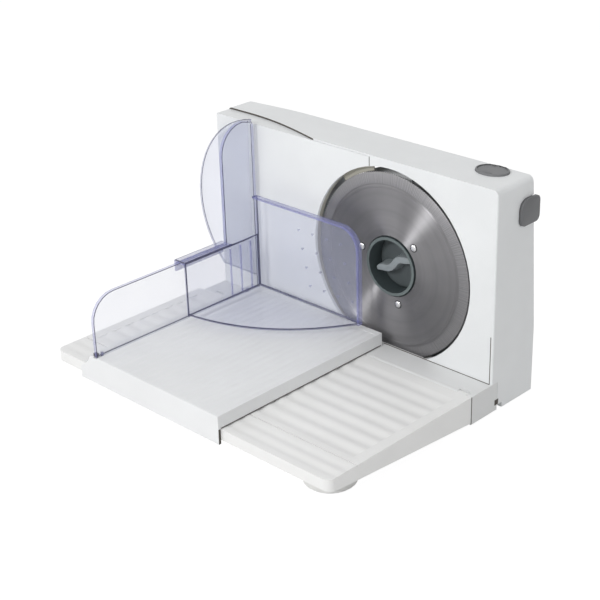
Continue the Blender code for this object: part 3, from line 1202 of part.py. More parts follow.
def ripple_outline():
    """Low even ripples across the carriage, seen from the front."""
    steps = RIPPLE_COUNT * RIPPLE_STEPS
    width = RIPPLE_COUNT * RIPPLE_PITCH
    spots = [(RIPPLE_FIRST + width, CARRIAGE_TOP + MARGIN), (RIPPLE_FIRST, CARRIAGE_TOP + MARGIN)]
    for i in range(steps + 1):
        dip = RIPPLE_DEPTH / 2 * (1 - math.cos(math.tau * i / RIPPLE_STEPS))
        spots.append((RIPPLE_FIRST + width * i / steps, CARRIAGE_TOP + GAP / 10 - dip))
    return spots


def build_guard():
    foot = CARRIAGE_TOP - GUARD_SEAT + GAP
    outline = [(GUARD_FRONT, foot)]
    outline += arc(GUARD_FRONT + GUARD_ROUND, GUARD_LOW_TOP - GUARD_ROUND, GUARD_ROUND, 180, 90)
    outline += [(GUARD_STEP_Y, GUARD_LOW_TOP)]
    outline += arc(GUARD_STEP_Y + GUARD_TALL_ROUND, GUARD_TALL_TOP - GUARD_TALL_ROUND, GUARD_TALL_ROUND,
                   180, 90)
    outline += [(GUARD_BACK - FINGER_PLATE / 2, GUARD_TALL_TOP - FINGER_PLATE),
                (GUARD_BACK, GUARD_TALL_TOP - FINGER_PLATE * 2), (GUARD_BACK, foot)]
    pivot = (GUARD_IN, GUARD_BACK, foot)
    guard = plate("carriage_guard", outline, GUARD_OUT, GUARD_IN, "X", pivot)
    shape = finger_outline()
    fuse(guard, plate("finger_form", shape, GUARD_BACK - FINGER_PLATE, GUARD_BACK - GAP, "Y"))
    middle = (GUARD_OUT + GUARD_IN) / 2
    for i, y in enumerate(PIN_YS):
        cut(guard, rod(f"guard_pin_bore_{i + 1}", PIN_RADIUS - GAP, foot - MARGIN,
                       foot + PIN_LENGTH / 2 + GAP, (middle, y, 0), "Z", SMALL_STEPS))
        profile = ((0, foot - PIN_LENGTH / 2), (PIN_RADIUS, foot - PIN_LENGTH / 2),
                   (PIN_RADIUS, foot - GAP), (PIN_RADIUS - GAP * 2, foot - GAP),
                   (PIN_RADIUS - GAP * 2, foot + PIN_LENGTH / 2), (0, foot + PIN_LENGTH / 2))
        pin = turned(f"guard_pin_{i + 1}", profile, (middle, y, 0), "Z", SMALL_STEPS)
        paint(shade(pin), f"guard_pin_steel_{i + 1}", STEEL, 0.3, 1.0)
    return paint(shade(guard), "guard_clear_plastic", CLEAR, 0.08, 0.0, 0.35)


def finger_outline():
    """The finger guard to the left of the fence, bounded by part of a circle."""
    edge = GUARD_OUT + (GUARD_IN - GUARD_OUT) / 2
    reach = edge - FINGER_CENTRE_X
    high = math.degrees(math.acos(reach / FINGER_RADIUS))
    low = math.degrees(math.asin((FINGER_LOW - FINGER_CENTRE_Z) / FINGER_RADIUS))
    spots = arc(FINGER_CENTRE_X, FINGER_CENTRE_Z, FINGER_RADIUS, high, 180 - low, GUARD_STEPS)
    spots.append((edge, FINGER_LOW))
    return spots


def build_pusher():
    left = PUSHER_LEFT
    inner = left + PUSHER_WALL
    back = PUSHER_BACK
    pivot = (GUARD_OUT, back, PUSHER_SIDE_TOP)
    pusher = box("pusher", (left, PUSHER_FRONT, PUSHER_LOW),
                 (inner, back - PUSHER_WALL / 2, PUSHER_SIDE_TOP - GAP), pivot)
    inside = left + PUSHER_WALL / 2
    floor = [(inside, PUSHER_FRONT + GAP)] + pusher_arc()
    floor += [(PUSHER_RIGHT - PUSHER_RIM_WALL / 2, back - PUSHER_WALL / 2), (inside, back - PUSHER_WALL / 2)]
    fuse(pusher, plate("pusher_floor_form", floor, PUSHER_LOW + GAP, PUSHER_LOW + PUSHER_WALL, "Z"))
    lip = PUSHER_SIDE_TOP - PUSHER_HOOK_DROP
    hook = [(inside, GUARD_LOW_TOP + GAP), (inside, PUSHER_SIDE_TOP), (PUSHER_HOOK_OUT, PUSHER_SIDE_TOP),
            (PUSHER_HOOK_OUT, lip), (GUARD_OUT - GAP, lip), (GUARD_OUT - GAP, GUARD_LOW_TOP + GAP)]
    fuse(pusher, plate("pusher_hook_form", hook, PUSHER_FRONT + GAP, GUARD_STEP_Y - GAP, "Y"))
    wall = rounded((left + GAP, PUSHER_LOW + GAP / 2), (PUSHER_RIGHT - GAP, PUSHER_BACK_TOP - GAP),
                   (0, 0, PUSHER_CORNER, 0))
    fuse(pusher, plate("pusher_back_form", wall, back - PUSHER_WALL, back, "Y"))
    fuse(pusher, pusher_rim_form())
    for i in range(PUSHER_RIB_COUNT):
        y = PUSHER_RIB_FIRST + i * PUSHER_RIB_PITCH
        fuse(pusher, box(f"pusher_rib_{i + 1}", (inside, y, PUSHER_LOW + PUSHER_WALL / 2),
                         (inner + PUSHER_RIB, y + PUSHER_RIB, PUSHER_SIDE_TOP - PUSHER_WALL)))
    for row in range(PIP_ROWS):
        for column in range(PIP_COLUMNS):
            x = PIP_FIRST_X + (column - row / 4) * PIP_PITCH
            z = PIP_FIRST_Z + row * PIP_PITCH
            root = back - PUSHER_WALL / 2
            profile = ((0, root), (PIP_RADIUS, root), (PIP_RADIUS, back + GAP), (0, back + PIP_LENGTH))
            fuse(pusher, turned(f"pip_{row + 1}_{column + 1}", profile, (x, 0, z), "Y", TINY_STEPS))
    return paint(shade(pusher), "pusher_clear_plastic", CLEAR, 0.08, 0.0, 0.35)


def pusher_arc():
    """The curved front edge of the pusher's floor, from the left wall to the right rim."""
    inset = PUSHER_RIM_WALL / 2
    chord = Vector((PUSHER_RIGHT - inset - PUSHER_LEFT, PUSHER_BACK - PUSHER_RIM + inset - PUSHER_FRONT))
    side = Vector((chord.y, -chord.x)).normalized()
    spots = []
    steps = PUSHER_STEPS
    for i in range(1, steps + 1):
        share = i / steps
        bow = 4 * PUSHER_SAGITTA * share * (1 - share)
        spots.append((PUSHER_LEFT + chord.x * share + side.x * bow,
                      PUSHER_FRONT + chord.y * share + side.y * bow))
    return spots


def pusher_rim_form():
    """The flange that runs forward round the right and top edge of the rear wall."""
    rim = PUSHER_RIM_WALL
    outer = rounded((PUSHER_LEFT, PUSHER_LOW), (PUSHER_RIGHT, PUSHER_BACK_TOP), (0, 0, PUSHER_CORNER, 0))
    start = PUSHER_BACK - PUSHER_RIM
    frame = plate("pusher_rim_form", outer, start, PUSHER_BACK - PUSHER_WALL / 2, "Y")
    inner = rounded((PUSHER_LEFT - MARGIN, PUSHER_LOW - MARGIN), (PUSHER_RIGHT - rim, PUSHER_BACK_TOP - rim),
                    (0, 0, PUSHER_CORNER - rim, 0))
    return cut(frame, plate("pusher_rim_hollow", inner, start - MARGIN, PUSHER_BACK + MARGIN, "Y"))


def centre_object():
    """Moves the whole object so that the origin is under the middle of its bounding box."""
    left = min(BASE_LEFT, FINGER_CENTRE_X - FINGER_RADIUS)
    right = HOUSING_RIGHT + SIDE_BUTTON_PROUD
    dial_back = rear_y(DIAL_X + DIAL_RADIUS, DIAL_Z - DIAL_RADIUS) + GAP + DIAL_DEPTH + DIAL_POINTER / 3
    front = CARRIAGE_FRONT
    ROOT.location = (-(left + right) / 2, -(front + dial_back) / 2, 0)


def main():
    build_housing()
    build_inner_frame()
    build_rear_cover()
    build_ramp()
    build_blade()
    build_lock_knob()
    build_spindle()
    build_motor()
    build_stop_plate()
    build_dial()
    build_buttons()
    build_gland()
    build_rear_feet()
    build_sill()
    build_base()
    build_carriage()
    build_guard()
    build_pusher()
    centre_object()
    bpy.context.view_layer.update()


main()
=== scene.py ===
"""Looks of a folding electric food slicer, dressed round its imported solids.

Sizes are millimetres unless a line says metres. Places count from the blade's axis (x), the
housing's front face (y) and the worktop (z), so every piece is put where the solids are.
"""
import math

import bmesh
import bpy
from mathutils import Matrix, Vector


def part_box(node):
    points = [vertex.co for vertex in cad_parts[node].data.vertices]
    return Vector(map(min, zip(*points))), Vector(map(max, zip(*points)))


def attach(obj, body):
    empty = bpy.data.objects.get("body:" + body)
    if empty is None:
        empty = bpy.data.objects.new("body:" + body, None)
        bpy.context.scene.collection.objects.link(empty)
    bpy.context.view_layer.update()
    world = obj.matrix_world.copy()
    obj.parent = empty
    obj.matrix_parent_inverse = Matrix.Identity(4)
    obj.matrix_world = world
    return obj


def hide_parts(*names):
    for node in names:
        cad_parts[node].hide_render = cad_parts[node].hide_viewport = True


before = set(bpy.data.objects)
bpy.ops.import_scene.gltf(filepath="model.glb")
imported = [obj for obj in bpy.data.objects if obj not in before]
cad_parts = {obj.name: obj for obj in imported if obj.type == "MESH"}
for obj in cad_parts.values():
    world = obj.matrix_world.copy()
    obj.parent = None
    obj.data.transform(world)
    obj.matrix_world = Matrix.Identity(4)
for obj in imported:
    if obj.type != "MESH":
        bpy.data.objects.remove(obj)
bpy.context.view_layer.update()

MM = 0.001
WELD = 0.000001

# The blade's place in metres, from its solid; its face lies a little behind the housing's.
blade_low, blade_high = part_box("blade_disc")
BLADE_SET_BACK = 2.3
BLADE_X = (blade_low.x + blade_high.x) / 2
BLADE_Z = (blade_low.z + blade_high.z) / 2
BLADE_RADIUS = (blade_high.x - blade_low.x) / 2
FRONT_Y = blade_low.y - BLADE_SET_BACK * MM
HUB_RADIUS = 26.6


def place(x, y, z):
    """A point in millimetres from the blade axis, the housing's front face and the worktop."""
    return Vector((BLADE_X + x * MM, FRONT_Y + y * MM, z * MM))


def depth(y):
    """How many millimetres a y in metres lies behind the housing's front face."""
    return (y - FRONT_Y) / MM


BLADE_HEIGHT = BLADE_Z / MM
BLADE_CENTRE = place(0, 0, BLADE_HEIGHT)


def tone(code):
    """An sRGB hex colour as linear red, green, blue and alpha."""
    values = [int(code[i:i + 2], 16) / 255 for i in (1, 3, 5)]
    linear = [v / 12.92 if v <= 0.04045 else ((v + 0.055) / 1.055) ** 2.4 for v in values]
    return (*linear, 1.0)


def shift(code, steps):
    """The hex colour a few steps lighter or darker."""
    values = [min(255, max(0, int(code[i:i + 2], 16) + steps)) for i in (1, 3, 5)]
    return "#" + "".join(f"{v:02X}" for v in values)


def per_mm(size):
    """The scale of a pattern whose spots are this many millimetres wide."""
    return 1 / (size * MM)


def add(tree, kind, inputs=None, stops=(), **settings):
    """Adds one node; an input is a value or the socket that feeds it, a stop a place and a hex colour."""
    node = tree.nodes.new("ShaderNode" + kind)
    for name, value in settings.items():
        setattr(node, name, value)
    if stops:
        for element, (spot, code) in zip(node.color_ramp.elements, stops):
            element.position = spot
            element.color = tone(code)
    for name, value in (inputs or {}).items():
        socket = node.inputs[name]
        if isinstance(value, bpy.types.NodeSocket):
            tree.links.new(value, socket)
        else:
            socket.default_value = value
    return node


def new_material(name):
    """An empty material; returns it with its node tree."""
    material = bpy.data.materials.new(name)
    material.use_nodes = True
    material.node_tree.nodes.clear()
    return material, material.node_tree


# Patterns common to the plastics: the melt's flow mottle, patches of uneven gloss and the mould's
# grain, whose real 0.1 mm is too fine to show and is drawn 1 to 2 mm wide.
PLASTIC_IOR = 1.5
FLOW_WIDTH = 38.0
SHEEN_WIDTH = 12.0
GRAIN_DEPTH = 0.2


def moulded(name, code, shade_code, rough, grain_width=1.6, grain=0.05):
    """Injection moulded plastic: a faint flow mottle, a fine satin grain and uneven gloss."""
    material, tree = new_material(name)
    where = add(tree, "TexCoord").outputs["Object"]
    flow = add(tree, "TexNoise", {"Vector": where, "Scale": per_mm(FLOW_WIDTH), "Detail": 3.0})
    colour = add(tree, "ValToRGB", {"Fac": flow.outputs["Fac"]}, [(0.3, shade_code), (0.7, code)])
    sheen = add(tree, "TexNoise", {"Vector": where, "Scale": per_mm(SHEEN_WIDTH), "Detail": 4.0})
    roughness = add(tree, "MapRange", {
        "Value": sheen.outputs["Fac"], "From Min": 0.3, "From Max": 0.7,
        "To Min": rough - 0.05, "To Max": rough + 0.06,
    })
    texture = add(tree, "TexNoise", {"Vector": where, "Scale": per_mm(grain_width), "Detail": 3.0})
    bump = add(tree, "Bump", {
        "Height": texture.outputs["Fac"], "Strength": grain, "Distance": GRAIN_DEPTH * MM,
    })
    shader = add(tree, "BsdfPrincipled", {
        "Base Color": colour.outputs[0], "Roughness": roughness.outputs[0],
        "Normal": bump.outputs[0], "IOR": PLASTIC_IOR,
    })
    add(tree, "OutputMaterial", {"Surface": shader.outputs[0]})
    return material


# The clear sheet's cloudy flow and its fine scuffs from handling.
CLOUD_WIDTH = 26.0
SCUFF_WIDTH = 3.0
CLEAR_ROUGH = 0.08


def clear(name, code, veil):
    """Clear violet styrene as thin sheet: it barely veils what lies behind and keeps a light gloss."""
    material, tree = new_material(name)
    where = add(tree, "TexCoord").outputs["Object"]
    cloud = add(tree, "TexNoise", {"Vector": where, "Scale": per_mm(CLOUD_WIDTH), "Detail": 2.0})
    colour = add(tree, "ValToRGB", {"Fac": cloud.outputs["Fac"]},
                 [(0.3, shift(code, -7)), (0.7, shift(code, 7))])
    scuffs = add(tree, "TexNoise", {"Vector": where, "Scale": per_mm(SCUFF_WIDTH), "Detail": 4.0})
    roughness = add(tree, "MapRange", {
        "Value": scuffs.outputs["Fac"], "From Min": 0.3, "From Max": 0.7,
        "To Min": CLEAR_ROUGH - 0.03, "To Max": CLEAR_ROUGH + 0.05,
    })
    shader = add(tree, "BsdfPrincipled", {
        "Base Color": colour.outputs[0], "Roughness": roughness.outputs[0], "IOR": PLASTIC_IOR,
        "Coat Weight": 0.5, "Coat Roughness": 0.04, "Alpha": veil,
    })
    add(tree, "OutputMaterial", {"Surface": shader.outputs[0]})
    return material


# Wider bands and blotches of the ground steel; its scratches are drawn coarser than their real 0.05 mm.
BAND_WIDTH = 9.0
BLOTCH_WIDTH = 30.0
SCRATCH_DEPTH = 0.04


def ground_steel(name, code, rough, brushed, scratch_width=0.8, across=False):
    """Stainless steel ground round the blade's axis, in rings or across: a soft fan of light."""
    material, tree = new_material(name)
    where = add(tree, "TexCoord").outputs["Object"]
    offset = add(tree, "VectorMath", {0: where, 1: tuple(BLADE_CENTRE)}, operation="SUBTRACT")
    flat = add(tree, "VectorMath", {0: offset.outputs[0], 1: (1, 0, 1)}, operation="MULTIPLY")
    radius = add(tree, "VectorMath", {0: flat.outputs[0]}, operation="LENGTH")
    outward = add(tree, "VectorTransform", {0: flat.outputs[0]}, vector_type="VECTOR",
                  convert_from="OBJECT", convert_to="WORLD")
    tangent = add(tree, "VectorMath", {0: outward.outputs[0]}, operation="NORMALIZE")
    run = radius.outputs["Value"]
    if across:
        parts = add(tree, "SeparateXYZ", {"Vector": flat.outputs[0]})
        angle = add(tree, "Math", {0: parts.outputs["Z"], 1: parts.outputs["X"]},
                    operation="ARCTAN2")
        arc = add(tree, "Math", {0: angle.outputs[0], 1: BLADE_RADIUS}, operation="MULTIPLY")
        run = arc.outputs[0]
    streaks = add(tree, "TexNoise", {"W": run, "Scale": per_mm(scratch_width), "Detail": 3.0},
                  noise_dimensions="1D")
    bands = add(tree, "TexNoise", {
        "W": radius.outputs["Value"], "Scale": per_mm(BAND_WIDTH), "Detail": 2.0,
    }, noise_dimensions="1D")
    blotches = add(tree, "TexNoise", {"Vector": where, "Scale": per_mm(BLOTCH_WIDTH), "Detail": 2.0})
    mixed = add(tree, "Math", {0: bands.outputs["Fac"], 1: blotches.outputs["Fac"]},
                operation="MULTIPLY")
    shade = streaks.outputs["Fac"] if across else mixed.outputs[0]
    low, high, change = (0.35, 0.65, 16) if across else (0.1, 0.45, 6)
    base = add(tree, "ValToRGB", {"Fac": shade},
               [(low, shift(code, -change)), (high, shift(code, change))])
    roughness = add(tree, "MapRange", {
        "Value": streaks.outputs["Fac"], "From Min": 0.25, "From Max": 0.75,
        "To Min": rough - 0.03, "To Max": rough + 0.04,
    })
    bump = add(tree, "Bump", {
        "Height": streaks.outputs["Fac"], "Strength": 0.02, "Distance": SCRATCH_DEPTH * MM,
    })
    shader = add(tree, "BsdfPrincipled", {
        "Base Color": base.outputs[0], "Metallic": 1.0, "Roughness": roughness.outputs[0],
        "Anisotropic": brushed, "Tangent": tangent.outputs[0], "Normal": bump.outputs[0],
    })
    add(tree, "OutputMaterial", {"Surface": shader.outputs[0]})
    return material


# Small metal parts: dull blotches, and a turning grain drawn coarser than its real 0.1 mm.
DULL_BLOTCH = "#8E8E90"
DULL_WIDTH = 9.0
TURNING_WIDTH = 1.2
TURNING_DEPTH = 0.05


def metal(name, code, rough):
    """Turned or pressed metal with a fine uneven gloss."""
    material, tree = new_material(name)
    where = add(tree, "TexCoord").outputs["Object"]
    grain = add(tree, "TexNoise", {"Vector": where, "Scale": per_mm(TURNING_WIDTH), "Detail": 3.0})
    dull = add(tree, "TexNoise", {"Vector": where, "Scale": per_mm(DULL_WIDTH), "Detail": 2.0})
    base = add(tree, "ValToRGB", {"Fac": dull.outputs["Fac"]}, [(0.2, DULL_BLOTCH), (0.8, code)])
    roughness = add(tree, "MapRange", {
        "Value": grain.outputs["Fac"], "From Min": 0.3, "From Max": 0.7,
        "To Min": rough - 0.06, "To Max": rough + 0.08,
    })
    bump = add(tree, "Bump", {
        "Height": grain.outputs["Fac"], "Strength": 0.06, "Distance": TURNING_DEPTH * MM,
    })
    shader = add(tree, "BsdfPrincipled", {
        "Base Color": base.outputs[0], "Metallic": 1.0, "Roughness": roughness.outputs[0],
        "Normal": bump.outputs[0],
    })
    add(tree, "OutputMaterial", {"Surface": shader.outputs[0]})
    return material


# Moulded ABS of housing, stop plate and dial: a cool white with a soft satin sheen.
WHITE = moulded("moulded_white_abs", "#E9EBEC", "#E5E7E8", 0.38)
# The base's ABS, a neutral white and a little duller, so its waves read by shadow alone.
BASE_WHITE = moulded("moulded_base_abs", "#EFEFEE", "#EBEBEA", 0.42)
# The hinge block's ABS, painted a shade greyer than the parts it stands between, for the shade that falls
# on it there.
SILL_PAINTED_SHADE = moulded("moulded_sill_abs_painted_shade", "#E0E1E1", "#DCDDDD", 0.42)
# The front feet's ABS: a warm, nearly matt white, painted a little darker than the base for the shade the
# feet stand in.
FOOT_PAINTED_SHADE = moulded("moulded_foot_abs_painted_shade", "#E6E6E4", "#E2E2E0", 0.5)
# The carriage's ABS: a cool white whose sheen brings out the fine ripples.
TABLE_WHITE = moulded("moulded_carriage_abs", "#EAEBEC", "#E6E7E8", 0.40)
# Plain grey ABS of parts that are hidden at rest, half matt.
INNER_GREY = moulded("moulded_inner_abs", "#B9BBBD", "#B2B4B6", 0.5)
# The top key's soft-touch plastic: a mid grey whose fine grain keeps it from shining.
KEY_GREY = moulded("soft_key_plastic", "#78797B", "#727375", 0.55, 1.2, 0.12)
# The side key's plastic: the same grain, a darker grey.
SIDE_GREY = moulded("side_key_plastic", "#6A6B6D", "#646567", 0.5, 1.2, 0.12)
# The knob plate's glass-filled nylon: a dark grey green with a dull sheen.
KNOB_GREY = moulded("knob_plate_nylon", "#535A5C", "#4D5456", 0.45, 1.2, 0.08)
# The grip's nylon: a light grey green that stands out from the plate.
GRIP_GREY = moulded("knob_grip_nylon", "#8D9497", "#858C8F", 0.42, 1.2, 0.08)
# The hub's raised ring: a mid grey green, which draws a thin pale circle round the knob; its paler tone
# is painted light on the hub's nylon.
HUB_RIM_PAINTED_LIGHT = moulded("hub_rim_nylon_painted_light", "#667070", "#606A6A", 0.4, 1.2, 0.08)
# The hub's cup: painted shade, dark so that the knob seems sunk in it.
CUP_PAINTED_SHADE = moulded("hub_nylon_painted_shade", "#414A4C", "#3A4345", 0.5, 1.2, 0.08)
# Black nylon of the switch and of the ring round each rivet.
BLACK = moulded("black_nylon", "#26282A", "#202224", 0.5)
# Black rubber of rear feet and cord gland: matt, with a coarser bloom.
RUBBER = moulded("rear_foot_rubber", "#2A2B2C", "#232425", 0.75, 1.0, 0.15)
# Painted shade: the brown dark that a narrow gap between two mouldings shows, as a plain colour.
GAP_PAINTED_SHADE = moulded("painted_gap_shade", "#4A443E", "#423C37", 0.7)
# Clear violet styrene of the fence, seen as a light veil.
GUARD_SHEET = clear("clear_violet_styrene", "#E6EAFF", 0.16)
# The finger guard's styrene, seen square on: a greyer and fuller veil.
FINGER_SHEET = clear("clear_finger_styrene", "#C2C8E0", 0.24)
# The pusher's grip pips: frosted, so they show as small light spots.
PIP = clear("frosted_pip_styrene", "#F6F7FC", 0.6)
# The pusher's styrene: the thinnest veil, because its two walls overlap.
PUSHER_SHEET = clear("clear_pusher_styrene", "#D6DCFC", 0.11)
# Narrow faces of the styrene, which gather its violet.
RIM = clear("styrene_rim_violet", "#8C8FCC", 0.42)
# Edges of the styrene, where light is caught inside: dark blue lines of painted shade in the styrene's
# violet.
EDGE_PAINTED_SHADE = clear("styrene_edge_painted_shade", "#17174C", 0.93)
# The blade's face, stainless steel ground in rings: mid grey with a bright fan.
BLADE = ground_steel("circular_ground_stainless", "#8E8D8F", 0.45, 1.0)
# The blade's bevel, ground across: streaks that run outwards and a weaker fan.
BEVEL = ground_steel("blade_bevel_stainless", "#8F8E90", 0.42, 0.7, 0.6, True)
# Bright steel of screws, pins, rods and motor can.
STEEL = metal("bright_steel", "#C4C4C6", 0.28)
# Polished stainless rivets: small, nearly white glints.
RIVET = metal("polished_rivet_steel", "#EDEDEE", 0.22)
# The opening's edge in ABS, with its half shade painted in: a warm stone grey.
WALL_PAINTED_SHADE = moulded("opening_wall_abs_painted_shade", "#B9B6AA", "#B0ADA1", 0.5)
# Turned brass of the bush: a dull yellow.
BRASS = metal("turned_brass", "#C9A55A", 0.3)
# Varnished copper of the motor's core: a reddish brown with a wet sheen.
COPPER = metal("varnished_copper", "#B0704A", 0.4)

# Angles in degrees: facets that count as one flat face, edges that stay sharp, and the ripples,
# which are shallow enough to need a finer limit.
FLAT_DEG = 0.4
SHARP_DEG = 32.0
RIPPLE_DEG = 1.5

# A face that meets no neighbour of at least this share of its size at a rounding angle is flat.
ROUND_DEG = (0.5, 34.0)
NEIGHBOUR_SHARE = 0.25

# A face looks along an axis when that part of its normal is past this share.
FACING_SHARE = 0.9


def cad_copy(node):
    """A merged copy of a solid's loose triangles as a bmesh, with its flat areas joined."""
    form = bmesh.new()
    form.from_mesh(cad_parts[node].data)
    bmesh.ops.remove_doubles(form, verts=form.verts, dist=WELD)
    bmesh.ops.dissolve_limit(form, angle_limit=math.radians(FLAT_DEG), verts=form.verts,
                             edges=form.edges, delimit={"NORMAL"})
    bmesh.ops.connect_verts_concave(form, faces=form.faces)
    return form


def crisp(form):
    """Faces that are flat and much larger than the round strips beside them; they stay flat."""
    least, most = (math.radians(angle) for angle in ROUND_DEG)
    flat = set()
    for face in form.faces:
        area = face.calc_area()
        for edge in face.edges:
            if len(edge.link_faces) != 2:
                continue
            other = edge.link_faces[0] if edge.link_faces[1] is face else edge.link_faces[1]
            angle = face.normal.angle(other.normal, 0.0)
            if least < angle < most and other.calc_area() > area * NEIGHBOUR_SHARE:
                break
        else:
            flat.add(face.index)
    return flat


def finish_piece(name, form, body, materials, angle=SHARP_DEG, nodes=()):
    """Makes the object from a bmesh, smooths its round faces and lets it ride on its body."""
    mesh = bpy.data.meshes.new(name)
    form.faces.index_update()
    flat = crisp(form)
    form.to_mesh(mesh)
    form.free()
    if mesh.has_custom_normals:
        mesh.attributes.remove(mesh.attributes["custom_normal"])
    for material in materials:
        mesh.materials.append(material)
    for face in mesh.polygons:
        face.use_smooth = face.index not in flat
    mesh.set_sharp_from_angle(angle=math.radians(angle))
    piece = bpy.data.objects.new(name, mesh)
    bpy.context.scene.collection.objects.link(piece)
    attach(piece, body)
    if nodes:
        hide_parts(*nodes)
    return piece


def closed_ring(form, verts):
    """The edges round a closed row of vertices, made where they are missing."""
    pairs = zip(verts[-1:] + verts[:-1], verts)
    return [form.edges.get(pair) or form.edges.new(pair) for pair in pairs]


# The base's front strip before the groove: where its two shallow waves lie and how deep they are.
STRIP_FRONT_EDGE = 4.0
STRIP_SIDE_EDGE = 10.0
STRIP_BACK = -168.6
GROOVE_FRONT = -166.2
STRIP_STEPS = 16
STRIP_WAVES = 2
STRIP_WAVE_DEPTH = 0.65


def cut_faces(form, picked, axis, spot):
    """Slices only the picked faces with a plane across one axis."""
    faces = [f for f in form.faces if picked(f)]
    edges = {e for f in faces for e in f.edges}
    verts = {v for f in faces for v in f.verts}
    where = Vector((0, 0, 0))
    across = Vector((0, 0, 0))
    where[axis] = spot
    across[axis] = 1.0
    bmesh.ops.bisect_plane(form, geom=faces + list(edges) + list(verts), plane_co=where,
                           plane_no=across, dist=WELD)


def front_strip_waves(form):
    """Two shallow waves across the strip before the groove, like those behind it."""
    low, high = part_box("base_platform")
    first = low.y + STRIP_FRONT_EDGE * MM
    last = place(0, STRIP_BACK, 0).y
    left = low.x + STRIP_SIDE_EDGE * MM
    right = high.x - STRIP_SIDE_EDGE * MM
    groove = place(0, GROOVE_FRONT, 0).y

    def picked(face):
        on_top = face.normal.z > 0.99 and face.verts[0].co.z > high.z - 0.1 * MM
        return on_top and face.calc_center_median().y < groove

    cut_faces(form, picked, 0, left)
    cut_faces(form, picked, 0, right)
    for n in range(STRIP_STEPS + 1):
        cut_faces(form, picked, 1, first + (last - first) * n / STRIP_STEPS)
    for vert in form.verts:
        x, y, z = vert.co
        if z > high.z - 0.05 * MM and first < y < last and left - WELD < x < right + WELD:
            turn = STRIP_WAVES * math.tau * (y - first) / (last - first)
            vert.co.z -= STRIP_WAVE_DEPTH * MM * (1 - math.cos(turn)) / 2


# The carriage's moulded ripples: no deeper than this in the solid, and drawn deeper until they show.
RIPPLE_DEPTH = 0.24
RIPPLE_SHARE = 2.6


def deepen_ripples(form, top):
    """Deepens the fine moulded ripples of the flat top until they just show."""
    for vert in form.verts:
        below = top - vert.co.z
        if WELD < below < RIPPLE_DEPTH * MM:
            vert.co.z = top - below * RIPPLE_SHARE


# The dial's spindle is drawn thinner so its facets turn freely, and the feet a little wider.
SPINDLE_SHARE = 0.7
FOOT_SHARE = 1.05


def resize_round(form, node, axes, share):
    """Makes a round piece a little thinner or wider about its own axis."""
    low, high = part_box(node)
    for vert in form.verts:
        for axis in axes:
            middle = (low[axis] + high[axis]) / 2
            vert.co[axis] = middle + (vert.co[axis] - middle) * share


# How far the top key's rim, slope and hollow run in, and how deep each step goes.
DISH_STEPS = ((1.4, 0.0), (1.2, -0.35), (2.6, -0.35))


def dish(form, top):
    """Hollows the button's top a little inside a plain rim."""
    faces = [f for f in form.faces
             if f.normal.z > FACING_SHARE and f.calc_center_median().z > top - 0.3 * MM]
    for inset, rise in DISH_STEPS:
        bmesh.ops.inset_region(form, faces=faces, thickness=inset * MM, depth=rise * MM)


# Clear pieces: material slots, the area from which a flat face is broad, the longest edge of a
# pip's facet, the shortest edge that gets a line of painted shade, its least bend and the lines' widths.
SHEET_SLOT, RIM_SLOT, PAINTED_EDGE_SLOT, CROSS_SLOT, PIP_SLOT = range(5)
BROAD_MM2 = 700.0
PIP_EDGE = 2.2
LINE_LENGTH = 2.5
LINE_DEG = 40.0
GUARD_LINE = 0.5
PUSHER_LINE = 0.9


def clear_plate(form, line):
    """Clear sheet: light broad faces, deeper rims, and thin lines of painted shade along the broad faces'
    edges.
    """
    planes = {}
    for face in form.faces:
        height = face.normal.dot(face.verts[0].co) / MM
        key = (*(round(n, 2) for n in face.normal), round(height, 1))
        planes.setdefault(key, []).append(face)
    broad = set()
    for faces in planes.values():
        if sum(f.calc_area() for f in faces) > BROAD_MM2 * MM * MM:
            broad.update(faces)
    for face in form.faces:
        if face in broad:
            face.material_index = CROSS_SLOT if abs(face.normal.y) > FACING_SHARE else SHEET_SLOT
        else:
            longest = max(e.calc_length() for e in face.edges)
            face.material_index = PIP_SLOT if longest < PIP_EDGE * MM else RIM_SLOT
    sharp = [e for e in form.edges if len(e.link_faces) == 2 and e.calc_length() > LINE_LENGTH * MM
             and e.is_convex and e.calc_face_angle() > math.radians(LINE_DEG)
             and any(f in broad for f in e.link_faces)]
    # The bevelled strips take the painted-shade edge material.
    bmesh.ops.bevel(form, geom=sharp, offset=line * MM, offset_type="OFFSET", affect="EDGES",
                    segments=1, profile=0.5, material=PAINTED_EDGE_SLOT, clamp_overlap=False)


# Where mouldings leave a thin gap, painted with shade: the wedge under the housing's top rim, the notch
# at its foot, the stop plate's seam and the open end of the carriage's apron.
RIM_X = (-211.0, -80.0)
RIM_Z = (197.2, 199.2)
RIM_DEPTH = 30.0
NOTCH_TOP = 16.0
NOTCH_DEPTH = 9.0
SEAM_X = -22.0
SEAM_LINE = 0.45
SEAM_LENGTH = 8.0
SEAM_DEG = 60.0
APRON_TOP = 28.0
APRON_BACK = -190.0
PAINTED_GAP_NODES = ("housing_shell", "stop_plate", "carriage_table")


def in_painted_gap_shade(node, spot, normal):
    """Whether a face of a node, at this place in millimetres, only shows as a thin gap that gets painted
    shade.
    """
    if node == "stop_plate":
        return normal.x > FACING_SHARE and abs(spot.x - SEAM_X) < 1
    if node == "carriage_table":
        return normal.x > FACING_SHARE and spot.z < APRON_TOP and spot.y < APRON_BACK
    in_rim = RIM_X[0] < spot.x < RIM_X[1] and spot.y < RIM_DEPTH and RIM_Z[0] < spot.z < RIM_Z[1]
    in_notch = spot.z < NOTCH_TOP and spot.y < NOTCH_DEPTH
    return in_rim and abs(normal.z) < 0.5 or in_notch and normal.y < -FACING_SHARE


